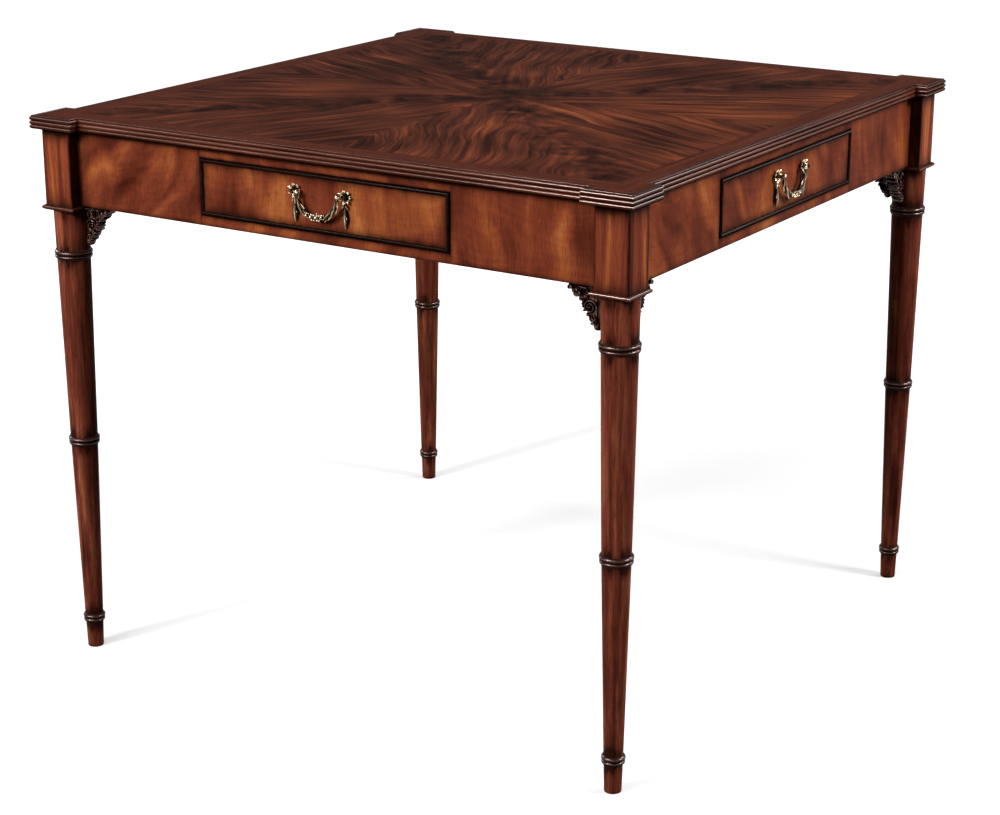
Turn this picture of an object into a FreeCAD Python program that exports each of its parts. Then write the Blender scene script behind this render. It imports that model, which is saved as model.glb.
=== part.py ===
"""Square mahogany card table with four drawers, as a parametric FreeCAD document in millimetres.

The table stands on z = 0 with its centre on the Z axis. Pieces that repeat round the table are
drawn on the front side, which faces -Y, and turned about Z in quarter turns.
"""
import FreeCAD
import Part
import Sketcher
import math
import os
from types import SimpleNamespace

SIDES = ("front", "right", "back", "left")
CORNERS = ("front_right", "back_right", "back_left", "front_left")
QUARTER_TURNS = ((1, 0), (0, 1), (-1, 0), (0, -1))
REEDS = 3
BRACKET_LOBES = 4
LOBE_BULGE = 0.22
LEAF_BELLY_SHARE = 1 / 3
ROOT_TWO = math.sqrt(2)
Z_AXIS = FreeCAD.Vector(0, 0, 1)
AXIS_ROTATIONS = {
    "x": FreeCAD.Rotation(FreeCAD.Vector(0, 1, 0), 90),
    "y": FreeCAD.Rotation(FreeCAD.Vector(1, 0, 0), -90),
    "z": FreeCAD.Rotation(),
    "diagonal": FreeCAD.Rotation(Z_AXIS, FreeCAD.Vector(1, -1, 0)),
}

SIZES = {
    # Table and top
    "table_height": 762.0,
    "top_width": 914.4,
    "top_thickness": 18.0,
    "ear_step": 16.0,
    "ear_length": 71.0,
    "edge_width": 8.0,
    "edge_fillet": 1.5,
    "reed_depth": 1.9,
    "veneer_thickness": 1.0,
    "border_width": 27.0,
    # Apron
    "apron_overhang": 11.0,
    "apron_thickness": 20.0,
    "top_rail_height": 14.0,
    "bottom_rail_height": 13.0,
    # Legs
    "post_width": 46.8,
    "post_proud": 16.0,
    "collar_overhang": 4.0,
    "collar_height": 6.5,
    "shaft_top_dia": 47.5,
    "shaft_middle_dia": 36.9,
    "shaft_low_dia": 24.6,
    "toe_dia": 22.0,
    "toe_chamfer": 1.0,
    "ring_height": 12.6,
    "top_ring_drop": 68.0,
    "middle_ring_height": 308.5,
    "low_ring_height": 44.3,
    # Brackets
    "bracket_reach": 48.0,
    "bracket_foot": 11.0,
    "bracket_nose": 7.0,
    "bracket_thickness": 18.0,
    "bracket_setback": 1.0,
    "bracket_ring_gap": 7.0,
    "bracket_clearance": 0.2,
    # Drawers
    "drawer_width": 382.0,
    "drawer_height": 74.0,
    "drawer_gap": 1.0,
    "bead_width": 5.0,
    "side_inset": 5.0,
    "side_thickness": 10.0,
    "side_lift": 1.0,
    "side_drop": 15.0,
    "bottom_lift": 6.0,
    "bottom_thickness": 5.0,
    "drawer_back_gap": 8.7,
    # Drawer carcass inside the apron
    "guide_thickness": 20.0,
    "guide_clearance": 0.5,
    "carcass_lift": 3.0,
    "runner_width": 16.0,
    "runner_clearance": 0.3,
    "kicker_clearance": 1.5,
    # Corner blocks, hanger bolts and glue blocks
    "block_gap": 1.0,
    "block_reach": 45.0,
    "block_height": 76.0,
    "bolt_dia": 8.0,
    "bolt_bite": 30.0,
    "bolt_tail": 3.0,
    "thread_clearance": 0.1,
    "bolt_hole_clearance": 0.5,
    "washer_dia": 20.0,
    "washer_thickness": 2.0,
    "nut_corner_dia": 15.0,
    "nut_height": 6.5,
    "glue_block_length": 60.0,
    "glue_block_side": 25.0,
    # Handles
    "handle_spacing": 77.0,
    "handle_rise": 14.0,
    "handle_stand": 9.0,
    "handle_post_dia": 8.0,
    "handle_post_length": 14.0,
    "rosette_dia": 15.0,
    "rosette_thickness": 3.0,
    "pendant_width": 8.0,
    "pendant_neck": 3.0,
    "pendant_thickness": 2.5,
    "pendant_gap": 5.0,
    "stud_dia": 4.0,
    "stud_clearance": 0.2,
    "stud_tail": 2.0,
    "stud_nut_dia": 9.0,
    "stud_nut_height": 4.0,
    "bail_dia": 5.0,
    "bail_drop": 29.0,
    "bail_shoulder_radius": 16.0,
    "bail_straight": 3.0,
    "knuckle_dia": 6.0,
    "knuckle_gap": 0.6,
    "pin_dia": 3.0,
    "pin_clearance": 0.05,
    "pin_hole_depth": 1.0,
}


class Size:
    """A size with its value in millimetres and the expression that gives it from the sheet."""

    def __init__(self, value, text):
        self.value = value
        self.text = text

    def __add__(self, other):
        other = as_size(other)
        return Size(self.value + other.value, f"({self.text} + {other.text})")

    def __sub__(self, other):
        other = as_size(other)
        return Size(self.value - other.value, f"({self.text} - {other.text})")

    def __mul__(self, other):
        other = as_size(other)
        return Size(self.value * other.value, f"({self.text} * {other.text})")

    def __truediv__(self, other):
        other = as_size(other)
        return Size(self.value / other.value, f"({self.text} / {other.text})")

    def __neg__(self):
        return Size(-self.value, f"(0 - {self.text})")


def as_size(item):
    """Return item as a Size, a plain number becoming a constant."""
    if isinstance(item, Size):
        return item
    return Size(float(item), f"({float(item)!r})")


def make_sheet(document):
    """Write the driving dimensions to a spreadsheet and return them as named sizes."""
    sheet = document.addObject("Spreadsheet::Sheet", "Sizes")
    for row, (alias, value) in enumerate(SIZES.items(), 1):
        sheet.set(f"A{row}", alias)
        sheet.set(f"B{row}", str(value))
        sheet.setAlias(f"B{row}", alias)
    document.recompute()
    return SimpleNamespace(**{alias: Size(sheet.get(alias), f"Sizes.{alias}") for alias in SIZES})


doc = FreeCAD.newDocument("card_table")
s = make_sheet(doc)
nodes = {}

# Places worked out from the driving dimensions
ear_half = s.top_width / 2
edge_half = ear_half - s.ear_step
ear_start = ear_half - s.ear_length
border_half = edge_half - s.edge_width
veneer_half = border_half - s.border_width
underside = s.table_height - s.top_thickness
core_top = s.table_height - s.veneer_thickness

apron_face = edge_half - s.apron_overhang
apron_back = apron_face - s.apron_thickness
opening_top = underside - s.top_rail_height
drawer_top = opening_top - s.drawer_gap
drawer_bottom = drawer_top - s.drawer_height
opening_bottom = drawer_bottom - s.drawer_gap
apron_bottom = opening_bottom - s.bottom_rail_height
opening_half = s.drawer_width / 2 + s.drawer_gap

post_half = s.post_width / 2
leg_axis = apron_face + s.post_proud - post_half
post_inner = leg_axis - post_half
collar_half = post_half + s.collar_overhang
shoulder = apron_bottom - s.collar_height
shaft_radius = s.shaft_top_dia / 2
top_ring_height = apron_bottom - s.top_ring_drop

box_half = s.drawer_width / 2 - s.side_inset
guide_inner = box_half + s.guide_clearance
guide_outer = guide_inner + s.guide_thickness
side_bottom = drawer_bottom + s.side_lift
side_top = drawer_top - s.side_drop
box_end = guide_outer + s.drawer_back_gap
carcass_bottom = apron_bottom + s.carcass_lift
runner_top = side_bottom - s.runner_clearance
runner_length = apron_back - guide_outer

block_outer = post_inner * 2 - s.block_gap
block_inner = block_outer - s.block_reach
block_bottom = (underside + apron_bottom) / 2 - s.block_height / 2
bolt_height = (underside + apron_bottom) / 2
bolt_start = block_inner / 2 - (s.washer_thickness + s.nut_height + s.bolt_tail) / ROOT_TWO
bolt_length = (post_inner - bolt_start) * ROOT_TWO + s.bolt_bite

pivot_height = drawer_bottom + s.drawer_height / 2 + s.handle_rise
pivot_face = apron_face + s.handle_stand
bail_half = s.handle_spacing / 2 - s.handle_post_dia / 2 - s.knuckle_gap - s.knuckle_dia / 2


def bind(thing, prop, size):
    """Bind a property of an object to the expression of a size."""
    thing.setExpression(prop, as_size(size).text)


def place(thing, x, y, z, turn=0, axis="z"):
    """Put an object at a point of the front side, then turn it to its own side of the table."""
    cosine, sine = QUARTER_TURNS[turn]
    spin = FreeCAD.Rotation(Z_AXIS, 90 * turn)
    thing.Placement = FreeCAD.Placement(FreeCAD.Vector(), spin.multiply(AXIS_ROTATIONS[axis]))
    bind(thing, "Placement.Base.x", as_size(x) * cosine - as_size(y) * sine)
    bind(thing, "Placement.Base.y", as_size(x) * sine + as_size(y) * cosine)
    bind(thing, "Placement.Base.z", z)


def block(name, low, high, turn=0):
    """Make a rectangular piece between two opposite corners given on the front side."""
    piece = doc.addObject("Part::Box", name)
    for prop, start, end in zip(("Length", "Width", "Height"), low, high):
        bind(piece, prop, as_size(end) - start)
    place(piece, low[0], low[1], low[2], turn)
    return piece


def rod(name, start, axis, dia, length, turn=0):
    """Make a round bar from a start point along an axis of the front side."""
    piece = doc.addObject("Part::Cylinder", name)
    bind(piece, "Radius", as_size(dia) / 2)
    bind(piece, "Height", length)
    place(piece, start[0], start[1], start[2], turn, axis)
    return piece


def ball(name, centre, dia, turn=0):
    """Make a ball about a point of the front side."""
    piece = doc.addObject("Part::Sphere", name)
    bind(piece, "Radius", as_size(dia) / 2)
    place(piece, centre[0], centre[1], centre[2], turn)
    return piece


def hexagon(name, start, axis, corner_dia, height, turn=0):
    """Make a six-sided nut blank from a start point along an axis of the front side."""
    piece = doc.addObject("Part::Prism", name)
    piece.Polygon = 6
    bind(piece, "Circumradius", as_size(corner_dia) / 2)
    bind(piece, "Height", height)
    place(piece, start[0], start[1], start[2], turn, axis)
    return piece


def cut(name, base, tool):
    """Return base with tool taken away."""
    piece = doc.addObject("Part::Cut", name)
    piece.Base = base
    piece.Tool = tool
    return piece


def fuse(name, pieces):
    """Return several overlapping pieces as one solid."""
    piece = doc.addObject("Part::MultiFuse", name)
    piece.Shapes = pieces
    return piece


def group(name, pieces):
    """Return separate solids as one group."""
    piece = doc.addObject("Part::Compound", name)
    piece.Links = pieces
    return piece


def node(name, piece):
    """Name a finished sub-part, which is written to a file of that name."""
    piece.Label = name
    nodes[name] = piece


def new_body(name, turn=0):
    """Start a body that is drawn on the front side and turned to its own side."""
    body = doc.addObject("PartDesign::Body", name)
    body.Placement = FreeCAD.Placement(FreeCAD.Vector(), FreeCAD.Rotation(Z_AXIS, 90 * turn))
    return body


def new_sketch(body, name, role, offset=0):
    """Start a sketch on one of a body's origin planes, moved along the plane's normal."""
    sketch = body.newObject("Sketcher::SketchObject", name)
    plane = next(item for item in body.Origin.OriginFeatures if item.Role == role)
    sketch.AttachmentSupport = [(plane, "")]
    sketch.MapMode = "FlatFace"
    bind(sketch, "AttachmentOffset.Base.z", offset)
    return sketch


def fix_point(sketch, geometry, position, u=None, v=None):
    """Hold a point of a sketch at sizes measured from the sketch's origin."""
    for kind, size in (("DistanceX", u), ("DistanceY", v)):
        if size is None:
            continue
        size = as_size(size)
        index = sketch.addConstraint(Sketcher.Constraint(kind, -1, 1, geometry, position, size.value))
        sketch.setExpression(f"Constraints[{index}]", size.text)


def draw(sketch, corners, bends=None, closed=True):
    """Draw straight edges and arcs through corners.

    bends maps the number of an edge to its arc: the arc's centre and whether it runs clockwise.
    The centre has one coordinate left as None where the two ends already settle it.
    """
    bends = bends or {}
    corners = [(as_size(u), as_size(v)) for u, v in corners]
    edges = list(range(len(corners) if closed else len(corners) - 1))
    ends = {}
    for edge in edges:
        start = FreeCAD.Vector(corners[edge][0].value, corners[edge][1].value, 0)
        following = corners[(edge + 1) % len(corners)]
        stop = FreeCAD.Vector(following[0].value, following[1].value, 0)
        if edge not in bends:
            sketch.addGeometry(Part.LineSegment(start, stop))
            ends[edge] = (1, 2)
            continue
        centre_u, centre_v, clockwise = bends[edge]
        middle = (start + stop) / 2
        chord = stop - start
        if centre_u is None:
            rise = centre_v.value - middle.y
            centre = FreeCAD.Vector(middle.x - rise * chord.y / chord.x, centre_v.value, 0)
        else:
            shift = centre_u.value - middle.x
            centre = FreeCAD.Vector(centre_u.value, middle.y - shift * chord.x / chord.y, 0)
        circle = Part.Circle(centre, Z_AXIS, (start - centre).Length)
        first, last = (stop, start) if clockwise else (start, stop)
        sketch.addGeometry(Part.ArcOfCircle(circle, circle.parameter(first), circle.parameter(last)))
        ends[edge] = (2, 1) if clockwise else (1, 2)
        fix_point(sketch, edge, 3, centre_u, centre_v)
    for edge in edges:
        fix_point(sketch, edge, ends[edge][0], *corners[edge])
        after = (edge + 1) % len(corners)
        last = ends[edge][1]
        if after in ends:
            meeting = Sketcher.Constraint("Coincident", edge, last, after, ends[after][0])
            sketch.addConstraint(meeting)
        else:
            fix_point(sketch, edge, last, *corners[after])


def draw_circle(sketch, u, v, dia):
    """Draw a circle about a point."""
    radius = as_size(dia) / 2
    centre = FreeCAD.Vector(as_size(u).value, as_size(v).value, 0)
    circle = sketch.addGeometry(Part.Circle(centre, Z_AXIS, radius.value))
    fix_point(sketch, circle, 3, u, v)
    index = sketch.addConstraint(Sketcher.Constraint("Radius", circle, radius.value))
    sketch.setExpression(f"Constraints[{index}]", radius.text)


def pad(body, sketch, length):
    """Thicken a sketch along its normal."""
    feature = body.newObject("PartDesign::Pad", f"{body.Name}_pad")
    feature.Profile = sketch
    bind(feature, "Length", length)
    return feature


def plate(name, corners, low, high, turn=0):
    """Make a flat plate from its plan outline on the front side and its lower and upper heights."""
    body = new_body(name, turn)
    sketch = new_sketch(body, f"{name}_plan", "XY_Plane", low)
    draw(sketch, corners)
    pad(body, sketch, as_size(high) - low)
    return body


def pipe(body, path, profile):
    """Carry a profile along a path, with square mitres at the path's corners."""
    feature = body.newObject("PartDesign::AdditivePipe", f"{body.Name}_pipe")
    feature.Profile = profile
    feature.Spine = path
    feature.Transition = "Right corner"
    return feature


def square_plan(half):
    """Return the corners of a square about the origin, from the middle to its sides."""
    return [(half, half), (-half, half), (-half, -half), (half, -half)]


def ear_outline(inset):
    """Return the plan of the top, drawn in from its edge: a square with an ear at each corner."""
    near = edge_half - inset
    far = ear_half - inset
    turn_in = ear_start + inset
    quarter = [(near, turn_in), (far, turn_in), (far, far), (turn_in, far), (turn_in, near)]
    corners = []
    for cosine, sine in QUARTER_TURNS:
        corners += [(x * cosine - y * sine, x * sine + y * cosine) for x, y in quarter]
    return corners


def make_top():
    """Make the core panel, the four veneer leaves and the border strips of the top."""
    node("top_core", plate("top_core_panel", ear_outline(s.edge_width), underside, core_top))
    leaves = []
    strips = []
    far = ear_half - s.edge_width
    turn_in = ear_start + s.edge_width
    strip_plan = [
        (-veneer_half, -veneer_half),
        (-far, -far),
        (-turn_in, -far),
        (-turn_in, -border_half),
        (turn_in, -border_half),
        (turn_in, -far),
        (far, -far),
        (veneer_half, -veneer_half),
    ]
    for turn, side in enumerate(SIDES):
        low = (0, -veneer_half, core_top)
        leaves.append(block(f"veneer_leaf_{CORNERS[turn]}", low, (veneer_half, 0, s.table_height), turn))
        strips.append(plate(f"border_strip_{side}", strip_plan, core_top, s.table_height, turn))
    node("top_veneer", group("veneer_leaves", leaves))
    node("top_border", group("border_strips", strips))


def make_edge_mouldings():
    """Make the reeded edge of the top, mitred at the corners into four lengths."""
    body = new_body("reeded_edge")
    path = new_sketch(body, "edge_path", "XY_Plane", underside)
    outline = ear_outline(as_size(0))
    draw(path, [(edge_half, 0)] + outline)
    reed_height = (s.top_thickness - s.edge_fillet) / REEDS
    reed_root = edge_half - s.reed_depth
    reed_radius = (reed_height * reed_height / 4 + s.reed_depth * s.reed_depth) / (s.reed_depth * 2)
    profile = [(border_half, underside)]
    profile += [(reed_root, underside + reed_height * step) for step in range(REEDS + 1)]
    profile += [(reed_root, s.table_height), (border_half, s.table_height)]
    bends = {1 + reed: (edge_half - reed_radius, None, False) for reed in range(REEDS)}
    section = new_sketch(body, "edge_section", "XZ_Plane")
    draw(section, profile, bends)
    pipe(body, path, section)
    for turn, side in enumerate(SIDES):
        reach = ear_half + s.edge_width
        wedge_plan = [(0, 0), (-reach, -reach), (reach, -reach)]
        wedge_low = underside - s.edge_width
        wedge_high = s.table_height + s.edge_width
        wedge = plate(f"mitre_wedge_{side}", wedge_plan, wedge_low, wedge_high, turn)
        length = doc.addObject("Part::Common", f"edge_length_{side}")
        length.Base = body
        length.Tool = wedge
        node(f"edge_moulding_{side}", length)


def bolt_hole(name, clearance, turn):
    """Return the round space of a hanger bolt with a clearance all round."""
    start = (bolt_start, -bolt_start, bolt_height)
    return rod(name, start, "diagonal", s.bolt_dia + clearance * 2, bolt_length + clearance, turn)


def make_leg(corner, turn):
    """Make one turned leg with its square post, its ring beads and its hanger bolt hole."""
    body = doc.addObject("PartDesign::Body", f"leg_turning_{corner}")
    place(body, leg_axis, -leg_axis, 0, turn)
    toe = s.toe_dia / 2
    rings = (
        (s.low_ring_height, s.shaft_low_dia / 2),
        (s.middle_ring_height, s.shaft_middle_dia / 2),
        (top_ring_height, shaft_radius),
    )
    profile = [(0, 0), (toe - s.toe_chamfer, 0), (toe, s.toe_chamfer)]
    bends = {}
    for height, radius in rings:
        for bead in range(2):
            bends[len(profile) + bead] = (radius, None, False)
        profile += [(radius, height + s.ring_height * step / 2) for step in (-1, 0, 1)]
    profile += [(shaft_radius, shoulder), (0, shoulder)]
    section = new_sketch(body, f"leg_section_{corner}", "XZ_Plane")
    draw(section, profile, bends)
    turning = body.newObject("PartDesign::Revolution", f"leg_revolution_{corner}")
    turning.Profile = section
    turning.ReferenceAxis = (section, ["V_Axis"])
    turning.Angle = 360
    post = new_sketch(body, f"post_plan_{corner}", "XY_Plane", shoulder)
    draw(post, square_plan(post_half))
    pad(body, post, underside - shoulder)
    hole = bolt_hole(f"leg_hole_{corner}", s.thread_clearance, turn)
    node(f"leg_{corner}", cut(f"leg_drilled_{corner}", body, hole))


def make_collar(corner, turn):
    """Make the square moulding with a rounded nose that runs round the foot of a post."""
    body = doc.addObject("PartDesign::Body", f"collar_{corner}")
    place(body, leg_axis, -leg_axis, 0, turn)
    path = new_sketch(body, f"collar_path_{corner}", "XY_Plane", shoulder)
    draw(path, [(post_half, 0)] + square_plan(post_half))
    nose = collar_half - s.collar_height / 2
    profile = [(post_half, shoulder), (nose, shoulder), (nose, apron_bottom), (post_half, apron_bottom)]
    section = new_sketch(body, f"collar_section_{corner}", "XZ_Plane")
    draw(section, profile, {1: (nose, None, False)})
    pipe(body, path, section)
    return body


def make_bracket(name, end, turn):
    """Make one carved bracket: a lobed triangle under the apron, coped to the leg's round shaft.

    end is 1 for the bracket at the right end of the side and -1 for the left end.
    """
    body = new_body(name, turn)
    plane_offset = apron_face - s.bracket_setback - s.bracket_thickness
    sketch = new_sketch(body, f"{name}_outline", "XZ_Plane", plane_offset)
    bottom = top_ring_height + s.ring_height / 2 + s.bracket_ring_gap
    foot = shaft_radius + s.bracket_foot
    tip = shaft_radius + s.bracket_reach
    nose = apron_bottom - s.bracket_nose
    notch_out = collar_half + s.bracket_clearance
    notch_down = shoulder - s.bracket_clearance
    inside = shaft_radius / 2
    outline = [(tip, apron_bottom), (notch_out, apron_bottom), (notch_out, notch_down)]
    outline += [(inside, notch_down), (inside, bottom)]
    lobe_run = (tip - foot) / BRACKET_LOBES
    lobe_rise = (nose - bottom) / BRACKET_LOBES
    bends = {}
    for lobe in range(BRACKET_LOBES):
        start = (foot + lobe_run * lobe, bottom + lobe_rise * lobe)
        centre_out = start[0] + lobe_run / 2 - lobe_rise * LOBE_BULGE
        bends[len(outline)] = ((leg_axis - centre_out) * end, None, end > 0)
        outline.append(start)
    outline.append((tip, nose))
    draw(sketch, [((leg_axis - out) * end, height) for out, height in outline], bends)
    pad(body, sketch, s.bracket_thickness)
    shaft = new_sketch(body, f"{name}_shaft", "XY_Plane", underside)
    draw_circle(shaft, leg_axis * end, -leg_axis, s.shaft_top_dia + s.bracket_clearance * 2)
    cope = body.newObject("PartDesign::Pocket", f"{name}_cope")
    cope.Profile = shaft
    cope.Type = "ThroughAll"
    return body


def make_apron(side, turn):
    """Make one side's apron: two rails round the drawer opening and a panel at each end."""
    rails = []
    for name, bottom, top in (("top", opening_top, underside), ("bottom", apron_bottom, opening_bottom)):
        low = (-opening_half, -apron_face, bottom)
        rails.append(block(f"{name}_rail_{side}", low, (opening_half, -apron_back, top), turn))
    node(f"apron_{side}_rails", group(f"rails_{side}", rails))
    for name, start, end in (("left", -post_inner, -opening_half), ("right", opening_half, post_inner)):
        low = (start, -apron_face, apron_bottom)
        panel = block(f"{name}_panel_{side}", low, (end, -apron_back, underside), turn)
        node(f"apron_{side}_{name}_panel", panel)


def mirrored_blocks(name, low, high, turn):
    """Make a block and its mirror image across the middle of its side."""
    right = block(f"{name}_right", low, high, turn)
    mirrored_low = (-as_size(high[0]), low[1], low[2])
    mirrored_high = (-as_size(low[0]), high[1], high[2])
    return [right, block(f"{name}_left", mirrored_low, mirrored_high, turn)]


def make_carcass():
    """Make the guide rails, runners, kickers and glue blocks behind the aprons."""
    guides = mirrored_blocks(
        "long_guide",
        (guide_inner, -apron_back, carcass_bottom),
        (guide_outer, apron_back, underside),
        0,
    )
    runners = []
    kickers = []
    glue_blocks = []
    inner = guide_inner - s.runner_width
    end = -apron_back + runner_length
    block_middle = (opening_half + post_inner) / 2
    block_low = block_middle - s.glue_block_length / 2
    block_high = block_middle + s.glue_block_length / 2
    for turn, side in enumerate(SIDES):
        if side in ("right", "left"):
            low = (guide_inner, -apron_back, carcass_bottom)
            guides += mirrored_blocks(f"cross_guide_{side}", low, (guide_outer, end, underside), turn)
        low = (inner, -apron_back, carcass_bottom)
        runners += mirrored_blocks(f"runner_{side}", low, (guide_inner, end, runner_top), turn)
        low = (inner, -apron_back, side_top + s.kicker_clearance)
        kickers += mirrored_blocks(f"kicker_{side}", low, (guide_inner, end, underside), turn)
        low = (block_low, -apron_back, underside - s.glue_block_side)
        high = (block_high, -apron_back + s.glue_block_side, underside)
        glue_blocks += mirrored_blocks(f"glue_block_{side}", low, high, turn)
    node("guide_rails", group("guide_rail_set", guides))
    node("drawer_runners", group("runner_set", runners))
    node("drawer_kickers", group("kicker_set", kickers))
    node("glue_blocks", group("glue_block_set", glue_blocks))


def make_corner_blocks():
    """Make the diagonal corner blocks and the hanger bolts that draw the legs into them."""
    blocks = []
    fasteners = []
    plan = [
        (apron_back, -(block_outer - apron_back)),
        (block_outer - apron_back, -apron_back),
        (block_inner - apron_back, -apron_back),
        (apron_back, -(block_inner - apron_back)),
    ]
    washer_place = block_inner / 2 - s.washer_thickness / ROOT_TWO
    nut_place = washer_place - s.nut_height / ROOT_TWO
    for turn, corner in enumerate(CORNERS):
        blank = plate(f"corner_blank_{corner}", plan, block_bottom, block_bottom + s.block_height, turn)
        hole = bolt_hole(f"block_hole_{corner}", s.bolt_hole_clearance, turn)
        blocks.append(cut(f"corner_block_{corner}", blank, hole))
        start = (bolt_start, -bolt_start, bolt_height)
        fasteners.append(rod(f"hanger_bolt_{corner}", start, "diagonal", s.bolt_dia, bolt_length, turn))
        start = (washer_place, -washer_place, bolt_height)
        washer = rod(f"washer_blank_{corner}", start, "diagonal", s.washer_dia, s.washer_thickness, turn)
        hole = bolt_hole(f"washer_hole_{corner}", s.bolt_hole_clearance, turn)
        fasteners.append(cut(f"hanger_washer_{corner}", washer, hole))
        start = (nut_place, -nut_place, bolt_height)
        nut = hexagon(f"nut_blank_{corner}", start, "diagonal", s.nut_corner_dia, s.nut_height, turn)
        hole = bolt_hole(f"nut_hole_{corner}", s.thread_clearance, turn)
        fasteners.append(cut(f"hanger_nut_{corner}", nut, hole))
    node("corner_blocks", group("corner_block_set", blocks))
    node("hanger_bolts", group("hanger_bolt_set", fasteners))


def make_cockbead(side, turn):
    """Make the four round-nosed bead strips round a drawer front."""
    half = s.drawer_width / 2
    nose = s.bead_width / 2
    inner_bottom = drawer_bottom + s.bead_width
    inner_top = drawer_top - s.bead_width
    strips = []
    for name, low in (("bottom", drawer_bottom), ("top", inner_top)):
        board = block(
            f"bead_{name}_board_{side}",
            (-half, -apron_face, low),
            (half, -apron_back, low + s.bead_width),
            turn,
        )
        start = (-half, -apron_face, low + nose)
        round_nose = rod(f"bead_{name}_nose_{side}", start, "x", s.bead_width, s.drawer_width, turn)
        strips.append(fuse(f"bead_{name}_{side}", [board, round_nose]))
    for name, low in (("left", -half), ("right", half - s.bead_width)):
        board = block(
            f"bead_{name}_board_{side}",
            (low, -apron_face, inner_bottom),
            (low + s.bead_width, -apron_back, inner_top),
            turn,
        )
        start = (low + nose, -apron_face, inner_bottom)
        round_nose = rod(f"bead_{name}_nose_{side}", start, "z", s.bead_width, inner_top - inner_bottom, turn)
        strips.append(fuse(f"bead_{name}_{side}", [board, round_nose]))
    node(f"drawer_{side}_cockbead", group(f"cockbead_{side}", strips))


def make_drawer_box(side, turn):
    """Make a drawer's front board, its sides and back, and its bottom panel."""
    half = s.drawer_width / 2 - s.bead_width
    inner_half = box_half - s.side_thickness
    low = (-half, -apron_face, drawer_bottom + s.bead_width)
    board = block(f"front_board_{side}", low, (half, -apron_back, drawer_top - s.bead_width), turn)
    holes = []
    for name, middle in handle_ends():
        start = (middle, -apron_face, pivot_height)
        dia = s.stud_dia + s.stud_clearance * 2
        holes.append(rod(f"stud_hole_{name}_{side}", start, "y", dia, s.apron_thickness, turn))
    drilled = cut(f"front_drilled_{side}", board, group(f"stud_holes_{side}", holes))
    node(f"drawer_{side}_front", drilled)
    low = (inner_half, -apron_back, side_bottom)
    walls = mirrored_blocks(f"drawer_side_{side}", low, (box_half, -box_end, side_top), turn)
    low = (-inner_half, -(box_end + s.side_thickness), side_bottom)
    walls.append(block(f"drawer_back_{side}", low, (inner_half, -box_end, side_top), turn))
    node(f"drawer_{side}_box", group(f"drawer_walls_{side}", walls))
    panel_bottom = side_bottom + s.bottom_lift
    low = (-inner_half, -apron_back, panel_bottom)
    high = (inner_half, -(box_end + s.side_thickness), panel_bottom + s.bottom_thickness)
    node(f"drawer_{side}_bottom", block(f"bottom_panel_{side}", low, high, turn))


def handle_ends():
    """Return the name and the middle of each of a handle's two posts."""
    return (("left", -s.handle_spacing / 2), ("right", s.handle_spacing / 2))


def make_handle_posts(side, turn):
    """Make a handle's two posts with rosette, hanging leaf and stud, and the nuts inside the drawer."""
    pieces = []
    leaf_tip = drawer_bottom + s.bead_width + s.pendant_gap
    leaf_belly = leaf_tip + (pivot_height - leaf_tip) * LEAF_BELLY_SHARE
    neck = s.pendant_neck / 2
    belly = s.pendant_width / 2
    for name, middle in handle_ends():
        tag = f"{name}_{side}"
        centre = (middle, -apron_face, pivot_height)
        stand = (middle, -(apron_face + s.handle_post_length), pivot_height)
        post = rod(f"handle_post_{tag}", stand, "y", s.handle_post_dia, s.handle_post_length, turn)
        stand = (middle, -(apron_face + s.rosette_thickness), pivot_height)
        rosette = rod(f"rosette_{tag}", stand, "y", s.rosette_dia, s.rosette_thickness, turn)
        stud_length = s.apron_thickness + s.stud_nut_height + s.stud_tail
        stud = rod(f"stud_{tag}", centre, "y", s.stud_dia, stud_length, turn)
        leaf = new_body(f"hanging_leaf_{tag}", turn)
        sketch = new_sketch(leaf, f"leaf_outline_{tag}", "XZ_Plane", apron_face)
        outline = [
            (middle - neck, pivot_height),
            (middle - belly, leaf_belly),
            (middle, leaf_tip),
            (middle + belly, leaf_belly),
            (middle + neck, pivot_height),
        ]
        draw(sketch, outline)
        pad(leaf, sketch, s.pendant_thickness)
        casting = fuse(f"handle_casting_{tag}", [post, rosette, stud, leaf])
        inward = 1 if name == "left" else -1
        hole_length = s.pin_hole_depth + s.handle_post_dia
        start = middle - s.pin_hole_depth if inward > 0 else middle - s.handle_post_dia
        hole_start = (start, -pivot_face, pivot_height)
        hole = rod(f"pin_hole_{tag}", hole_start, "x", s.pin_dia + s.pin_clearance * 2, hole_length, turn)
        pieces.append(cut(f"handle_bored_{tag}", casting, hole))
        nut_start = (middle, -apron_back, pivot_height)
        nut = hexagon(f"stud_nut_blank_{tag}", nut_start, "y", s.stud_nut_dia, s.stud_nut_height, turn)
        thread_dia = s.stud_dia + s.thread_clearance * 2
        thread = rod(f"stud_thread_{tag}", centre, "y", thread_dia, stud_length, turn)
        pieces.append(cut(f"stud_nut_{tag}", nut, thread))
    node(f"drawer_{side}_handle_posts", group(f"handle_posts_{side}", pieces))


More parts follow.
